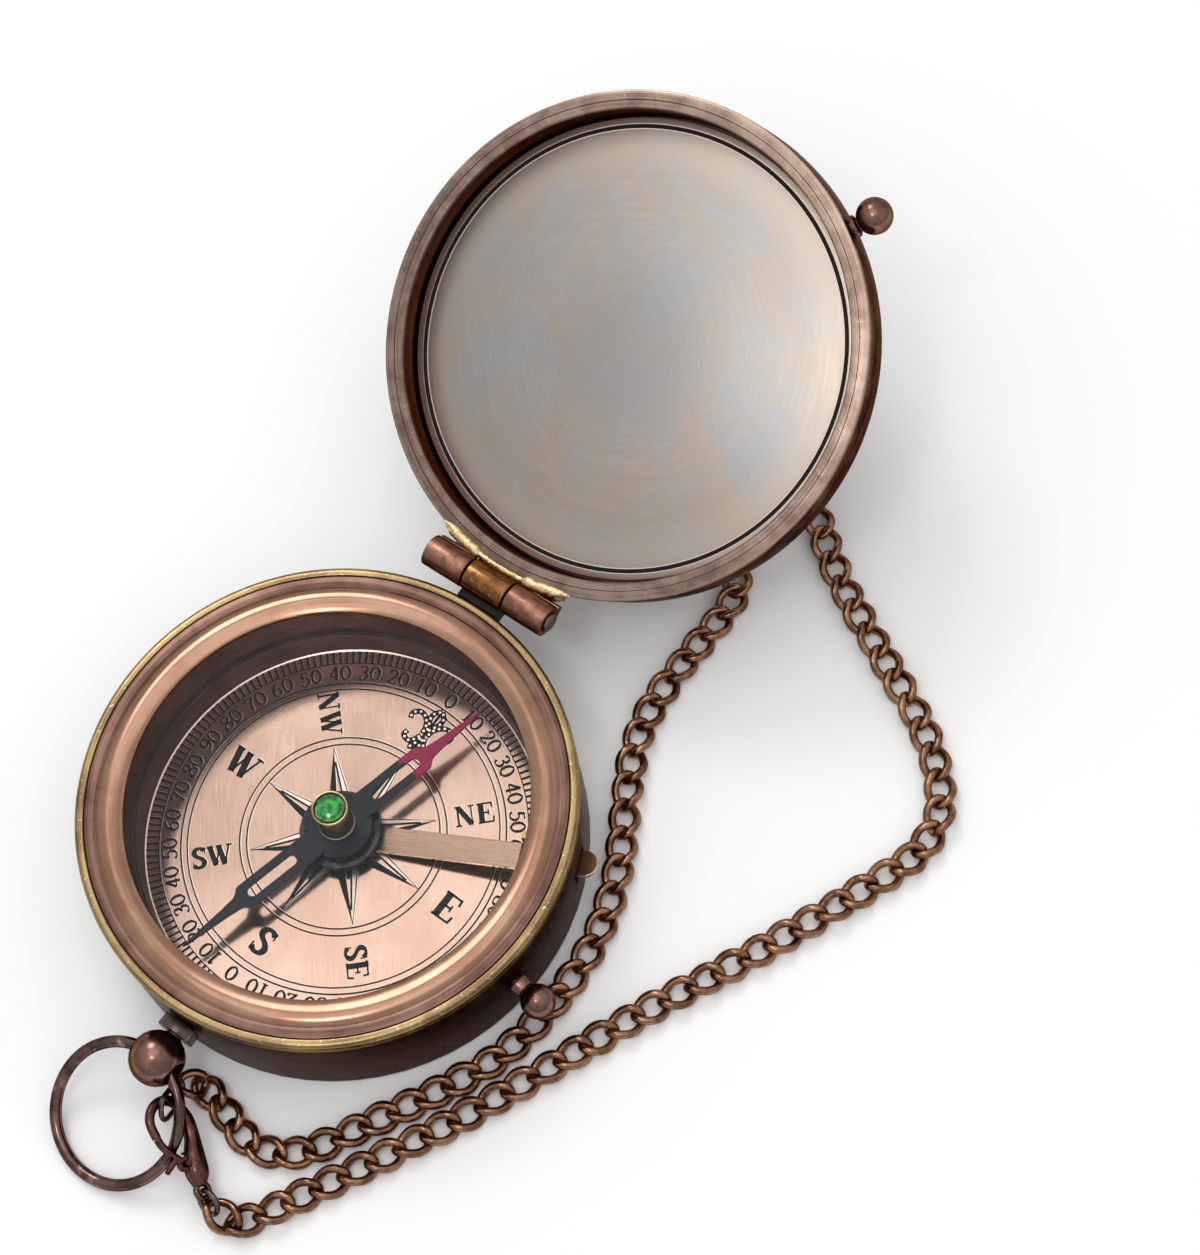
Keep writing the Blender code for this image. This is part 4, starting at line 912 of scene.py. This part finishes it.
def dial_lily(cut):
    """The traditional lily of north: a petal between pairs of beaded curls."""
    place = turn(DIAL_TURN, "Z") @ at(13.2, 0, 0)
    curls = [
        [(0.5, 0.0), (1.3, 0.35), (1.95, 0.62), (2.6, 0.55), (3.15, 0.0)],
        [(0.1, 0.3), (1.0, 0.5), (1.75, 1.15), (1.9, 1.95), (1.35, 2.5), (0.75, 2.35)],
        [(-0.1, 0.3), (-0.8, 0.55), (-1.3, 1.1), (-1.05, 1.8), (-0.45, 1.75)],
        [(-0.2, 0.15), (-1.0, 0.2), (-1.55, 0.5), (-1.95, 0.3)],
    ]
    width = 0.6
    for way in (1, -1):
        for curl in curls:
            path = smooth([(x, way * y, 0) for x, y in curl], 10)
            cut.line(path, width, width, place)
            length = path_length(path)
            count = max(2, round(length / width))
            for k in range(count):
                q = along_path(path, length * (k + 0.5) / count)
                cut.bead(q.x, q.y, place)
    cut.rule((-1.9, 0), (0.7, 0), 0.34, place)
    cut.rule((0.6, 0), (2.9, 0), 0.3, place)


def dial_pieces():
    disc = lathe(rectangle(1.1, 1.3, GLASS_RADIUS, DIAL_TOP))
    piece("dial_look", disc, dial_metal(), "case", ("dial_plate",))
    cut = Engraving()
    for draw in (dial_scale, dial_letters, dial_rose, dial_lily):
        draw(cut)
    # the ink is the engraving's fill; the pale ribbons are painted highlights beside it
    for name, bm, mat in (("dial_ink", cut.ink, BLACK), ("dial_painted_highlight", cut.edge, PALE_METAL_AND_PAINTED_HIGHLIGHT)):
        for face in bm.faces:
            face.normal_update()
            if face.normal.z < 0:
                face.normal_flip()
        obj = set_down(name, bm, mat)
        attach(obj, "case")


# Needle, cap and stone
ARMS = ((1, 18.5), (-1, 19.4))


def arm_outline(length):
    """One arm: a broad bar, rounded shoulders and a long slender head."""
    neck = length - 7.6
    side = [(2.6, 1.4), (neck - 0.2, 1.4), (neck + 0.05, 1.32), (neck + 0.55, 0.84), (neck + 0.85, 0.68)]
    side += [(neck + 2.4, 0.5), (length - 0.5, 0.14), (length, 0.03)]
    return side + [(x, -y) for x, y in reversed(side)]


def slot_outline(length):
    """The slot between an arm's two bars, rounded at its outer end."""
    outer = length - 8.15
    inner = outer - 5.9
    end = arc((outer - 0.55, 0), 0.55, -90, 90, 8)
    return [(inner, -0.3), (inner + 0.3, -0.55)] + end + [(inner + 0.3, 0.55), (inner, 0.3)]


def stone_mesh():
    """A faceted stone, from its girdle's foot up to its table."""
    stone = bmesh.new()
    count = 10
    levels = [(1.0, 10.36, 0), (1.47, 10.5, 0.5), (1.47, 10.56, 0.5), (1.12, 10.78, 0), (0.8, 10.9, 0.5)]
    rings = []
    for radius, height, shift in levels:
        rings.append([stone.verts.new((*spoke(radius, a), height)) for a in angles(count, shift)])
    for low, high in zip(rings, rings[1:]):
        for k in range(count):
            n = (k + 1) % count
            stone.faces.new((low[k], low[n], high[k]))
            stone.faces.new((low[n], high[n], high[k]))
    stone.faces.new(rings[0])
    stone.faces.new(rings[-1])
    return stone


def needle_pieces():
    outline = []
    for way, length in ARMS:
        outline += [(way * x, way * y) for x, y in reversed(arm_outline(length))]
        outline += [(way * x, way * y) for x, y in arc((0, 0), 3.5, 29, 151, 16)]
    holes = [[(way * x, way * y) for x, y in slot_outline(length)] for way, length in ARMS]
    holes.append(arc((0, 0), 1.1, 0, 345, 23))
    blade = slab(outline, 5.55, 5.94, 0.06, holes)
    piece("needle_look", blade, needle_paint(), "needle", ("needle_blade",), NEEDLE, 20)

    cap = [(1.1, 6.24), (1.92, 6.24), (1.92, 6.46), (1.74, 6.54), (1.62, 9.2), (1.7, 9.45), (0, 9.45),
           (0, 8.85), (1.1, 8.85)]
    piece("cap_look", lathe(eased(cap, 0.08), 64), CAP_BRASS, "needle", ("needle_cap",))
    cup = [(0, 9.75), (1.6, 9.75), (1.85, 10.0), (1.85, 10.62), (1.66, 10.65), (1.57, 10.5), (1.57, 10.05),
           (0, 10.05)]
    piece("cup_look", lathe(eased(cup, 0.06), 64), BRASS, "needle", ("jewel_setting",))
    piece("stone_look", stone_mesh(), gem(), "needle", ("jewel",), sharp=5)

    ring = lathe(eased(rectangle(1.9, 3.84, 4.15, 4.34), 0.12), 96)
    piece("lifting_ring_look", ring, DARK_STEEL, "lifter", ("lifting_ring",))


def lever_pieces():
    """The strip runs from its tab outside the case to the lifting ring, and rocks on a bored boss."""
    inner, outer, half, thick, bevel = -16.58, 6.23, 1.35, 0.25, 0.07
    boss, bore = 0.65, 0.4
    joint = (boss + bore) / 2 - 0.05
    strip = lying(eased(rectangle(bore, -half, boss, half), 0.05, 1), 48)
    tab = [(joint, -half)] + arc((outer, 0), half, -90, 90, 12) + [(joint, half)]
    merge(strip, slab(tab, -thick, thick, bevel))
    add_block(strip, (inner, -half, -thick), (-joint, half, thick), bevel)
    piece("lever_look", strip, lever_metal(), "lever", ("lock_lever",), LEVER, 20)
    dress("lever_bracket", BRASS)
    dress("lever_pin", DARK_STEEL)
    dress("pivot_post", BRASS)


# Lid and hinge
LID_RADIUS = 25.4
LEAF_RADIUS = 25.7


def lid_pieces():
    lip = [(23.5, 13.42), (23.62, 13.3), (25.2, 13.3), (25.34, 13.36), (LID_RADIUS, 13.5)]
    shell = lip + arc((24.4, 17.9), 1.0, 0, 90, 8) + [(0, 18.9), (0, 18.0), (23.5, 18.0)]
    piece("lid_look", lathe(shell, 192), lid_rim_metal(), "lid", ("lid_shell",), LID)
    plate = lathe(eased(rectangle(0, 16.5, 23.2, 17.3), 0.1, 2), 128)
    piece("lid_plate_look", plate, plate_metal(), "lid", ("lid_plate",), LID)
    # the black ring is painted shade for a groove that is not cut, and the pale rings beside it are painted
    # highlights on its edges
    for name, mat, section in (
        ("lid_groove", BLACK, (22.08, 16.46, 22.5, 16.52)),
        ("lid_groove_highlight_in", PALE_METAL_AND_PAINTED_HIGHLIGHT, (21.98, 16.47, 22.1, 16.52)),
        ("lid_groove_highlight_out", PALE_METAL_AND_PAINTED_HIGHLIGHT, (22.48, 16.47, 22.58, 16.52)),
        ("lid_rim_hairline", HAIRLINE, (24.33, 13.28, 24.40, 13.32)),
    ):
        piece(name, lathe(rectangle(*section)), mat, "lid", (), LID)


def barrel(low, high):
    radius, bore = 1.68, 0.75
    return lying(eased(rectangle(bore, low, radius, high), 0.12), 80)


def bead(half, columns, section):
    """A lumpy bead along Y; section gives its points from y, the distance to its end, and an angle."""
    bm = bmesh.new()
    places = [-half + 2 * half * j / columns for j in range(columns + 1)]
    return skin(bm, [[bm.verts.new(section(y, half - abs(y), a)) for a in angles(10)] for y in places])


def fillet_section(y, inside, a):
    """A thin bead of braze along the lid's rim, fuller beside the two lid knuckles."""
    full = min(1.0, max(0.0, (abs(y) - 2.55) / 0.5))
    end = min(1.0, inside / 1.6)
    lump = 1 + 0.26 * noise.noise(Vector((y * 3.1, math.cos(a) * 1.6, 3 + math.sin(a) * 1.6)))
    reach = (0.37 + 0.27 * full) * lump * (0.25 + 0.75 * end)
    rim = math.sqrt(LID_RADIUS**2 - y * y)
    return rim - 0.02 + reach * math.cos(a), y, 13.55 + 0.9 * reach * math.sin(a)


def leaf_section(y, inside, a):
    """The brazed leaf on the lid's wall."""
    end = min(1.0, inside / 0.5)
    lump = 1 + 0.35 * noise.noise(Vector((y * 1.6, math.cos(a) * 1.5, math.sin(a) * 1.5)))
    wall = math.sqrt(LEAF_RADIUS**2 - y * y)
    out = wall + 0.35 + 0.46 * math.cos(a) * lump * (0.5 + 0.5 * end)
    return out, y, 15.7 + 0.95 * math.sin(a) * lump * (0.6 + 0.4 * end)


def hinge_pieces():
    piece("case_knuckle_look", barrel(-2.4, 2.4), AMBER, "case", ("case_knuckle",), CASE_HINGE)
    # the foot under the barrel is painted flat black, not shiny: painted shade
    foot = bmesh.new()
    add_block(foot, (-2.38, -2.3, -2.6), (-0.9, 2.3, -0.3))
    piece("case_knuckle_foot", foot, BLACK, "case", (), CASE_HINGE)
    for side, node in ((1, "lid_knuckle_left"), (-1, "lid_knuckle_right")):
        low, high = sorted((side * 2.6, side * 7.35))
        knuckle = barrel(low, high)
        add_block(knuckle, (-1.7, low, 0.82), (0.3, high, 1.75))
        piece(node + "_look", knuckle, KNUCKLE_COPPER, "lid", (node,), LID_HINGE)
    pin = [(0, -7.75), (0.95, -7.72), (1.1, -7.6), (1.1, -7.4)]
    pin += [(0.65, -7.4), (0.65, 7.4), (0.5, 7.55), (0, 7.55)]
    piece("hinge_pin_look", lying(pin, 48), STEEL, "case", ("hinge_pin",), CASE_HINGE)
    leaf, fillet = bead(6.7, 90, leaf_section), bead(7.9, 110, fillet_section)
    piece("braze_look", leaf, BRASS, "lid", ("lid_leaf",), LID, sharp=80)
    piece("braze_fillet", fillet, braze(), "lid", (), LID, sharp=80)


# Knobs and bow
def stud(ball, collar):
    """A ball on a stem, with a collar against the wall."""
    stem, start, reach = 0.75, 23.8, 27.9
    neck = reach - math.sqrt(ball**2 - stem**2)
    profile = [(0, start), (stem, start), (stem, collar), (1.15, collar), (1.15, collar + 0.25)]
    profile += [(0.95, neck - 0.12), (stem, neck - 0.05)]
    low = -math.degrees(math.acos(stem / ball))
    rounding = arc((0, reach), ball, low, 90, 18)
    return lathe(profile + rounding[:-1] + [(0, reach + ball)], 48)


def knob_pieces():
    """The finger grips of case and lid."""
    for body, place, ball, collar in (("case", CASE_KNOB, 1.75, 25.2), ("lid", LID_KNOB, 1.85, 25.7)):
        node = body + "_knob"
        piece(node + "_look", stud(ball, collar), BALL_COPPER, body, (node,), place, sharp=50)


def bow_pieces():
    """The ring's wire is a little worn where the clasp's gate comes near it."""
    collar = lathe(eased([(0.9, 24.95), (2.0, 24.95), (2.05, 26.3), (0.9, 26.3)], 0.12), 48)
    piece("bow_collar_look", collar, STEEL, "case", ("bow_collar",), BALL)
    dress("bow_ball", BALL_COPPER)
    wire, worn, worn_at, worn_over = 0.6, 0.1, 80, 9
    turns = angles(120)
    radii = [wire - worn * math.exp(-(((math.degrees(a) - worn_at) / worn_over) ** 2)) for a in turns]
    ring = tube([on_bow(a) for a in turns], radii, 20, True)
    piece("bow_ring_look", ring, WIRE, "bow", ("bow_ring",), BOW, sharp=60)


def clasp_pieces():
    """A hook that thins towards its nose, with a lug for the jump ring."""
    width = 1.95
    stations = [(-6.1, 0, 0.69), (-5.0, -width * 0.18, 1.15), (-3.6, -width * 0.42, 1.09),
                (-1.8, -width * 0.82, 0.79), (0, -width, 0.75)]
    for k, (x, y) in enumerate(arc((0.9, 0), width, -80, 90, 8)):
        stations.append((x, y, 0.45 + 0.1 * (1 - k / 8)))
    stations.append((-0.12, width, 0.45))
    fine = smooth([(x, y, 0) for x, y, _ in stations], 5)
    radii = [q.x for q in smooth([(r, 0, 0) for _, _, r in stations], 5)]
    hook = tube(fine, radii, 20, reference=(0, 0, 1))
    piece("clasp_hook_look", hook, CLASP_COPPER, "bow", ("clasp_body",), CLASP, sharp=60)

    eye = [(-6.7 + 0.72 * math.cos(a), 0.72 * math.sin(a), 0) for a in angles(32)]
    lug = tube(eye, [0.3] * len(eye), 12, True)
    piece("clasp_lug_look", lug, CLASP_COPPER, "bow", (), CLASP, sharp=60)
    dress("clasp_gate", CLASP_COPPER)
    dress("clasp_gate_pin", CLASP_COPPER)
    dress("clasp_spring", DARK_STEEL)

    ring = [(1.25 * math.cos(a), 0, 1.25 * math.sin(a)) for a in angles(48)]
    jump_ring = tube(ring, [0.28] * len(ring), 12, True)
    place = CLASP @ at(-7.95, 0, 0)
    piece("jump_ring_look", jump_ring, STEEL, "bow", ("jump_ring",), place, sharp=60)
    dress("chain_end_link", STEEL)


# Chain: its route and the sizes of a link, in millimetres
CHAIN_LEVEL = 1.0  # height of its centre line on the table
CHAIN_ON_TABLE = (
    (-37.2, -14.9), (-34.6, -16.6), (-31.1, -18.6), (-23.6, -22.9), (-14.9, -27.6), (3.1, -36),
    (12.6, -41), (29.5, -48.6), (34.6, -48.9), (38.8, -46.2), (42.4, -41.9), (46.9, -33.8), (51.9, -25.2),
    (56.9, -19.2), (59.2, -14.5), (57, -10.2), (52, -10), (48.4, -14.2), (44.9, -17.9), (38.4, -17.9),
    (31.3, -17.6), (25.4, -18.4), (19.2, -21.4), (13, -24.9), (5.6, -27.3), (-2, -27.6), (-9.6, -26.3),
    (-16.6, -22.8), (-23, -19), (-28.3, -15.8), (-30.4, -11.8), (-29.7, -8.8), (-28.7, -6.2),
)
CHAIN_ROUTE = [
    (-37.3, -11.95, 1.75), (-38.4, -13.4, 1.15), *((x, y, CHAIN_LEVEL) for x, y in CHAIN_ON_TABLE),
    (-28, -4.2, 0.95), (-27.8, -3.1, 0.8), (-28.35, -2.85, 1.2), (-29.15, -2.7, 2.1), (-30.05, -2.62, 3.14),
]
PITCH, LINK_WIRE, LINK_WIDTH = 2.95, 0.85, 3.4
BITE = 0.1  # by which neighbours overlap, so that they bear on each other
TWIST = 45
REACH = (PITCH + LINK_WIRE - BITE) / 2
HALF_WIDTH = (LINK_WIDTH - LINK_WIRE) / 2


def link_wire(place):
    """The centre line of a curb link, lifted where it would reach below the floor."""
    wire = []
    for a in angles(28):
        roll = math.radians(TWIST) * math.cos(a)
        side = HALF_WIDTH * math.sin(a)
        wire.append(place @ Vector((REACH * math.cos(a), side * math.cos(roll), side * math.sin(roll))))
    sunk = max(0.0, LINK_WIRE / 2 - min(p.z for p in wire))
    return [p + Vector((0, 0, sunk)) for p in wire]


def chain_pieces():
    path = smooth(CHAIN_ROUTE, 12)
    total = path_length(path)
    count = 1 + round((total - 2 * REACH) / PITCH)
    step = (total - 2 * REACH) / (count - 1)
    chain = bmesh.new()
    for k in range(count):
        distance = REACH + k * step
        ahead, behind = along_path(path, distance + REACH), along_path(path, distance - REACH)
        forward = (ahead - behind).normalized()
        across = Vector((0, 0, 1)).cross(forward).normalized()
        place = frame_of(forward, across, forward.cross(across), (ahead + behind) / 2)
        lean = 9 * math.sin(k * 2.4) + 5 * math.sin(k * 5.1)
        wire = link_wire(place @ turn(lean, "X"))
        tube(wire, [LINK_WIRE / 2] * len(wire), 10, True, bm=chain)
    runs = [f"chain_run_{n}" for n in range(1, 8)]
    obj = piece("chain_look", chain, CHAIN, None, runs, sharp=80)
    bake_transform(obj)


for make in (case_pieces, dial_pieces, needle_pieces, lever_pieces, lid_pieces,
             hinge_pieces, knob_pieces, bow_pieces, clasp_pieces, chain_pieces):
    make()
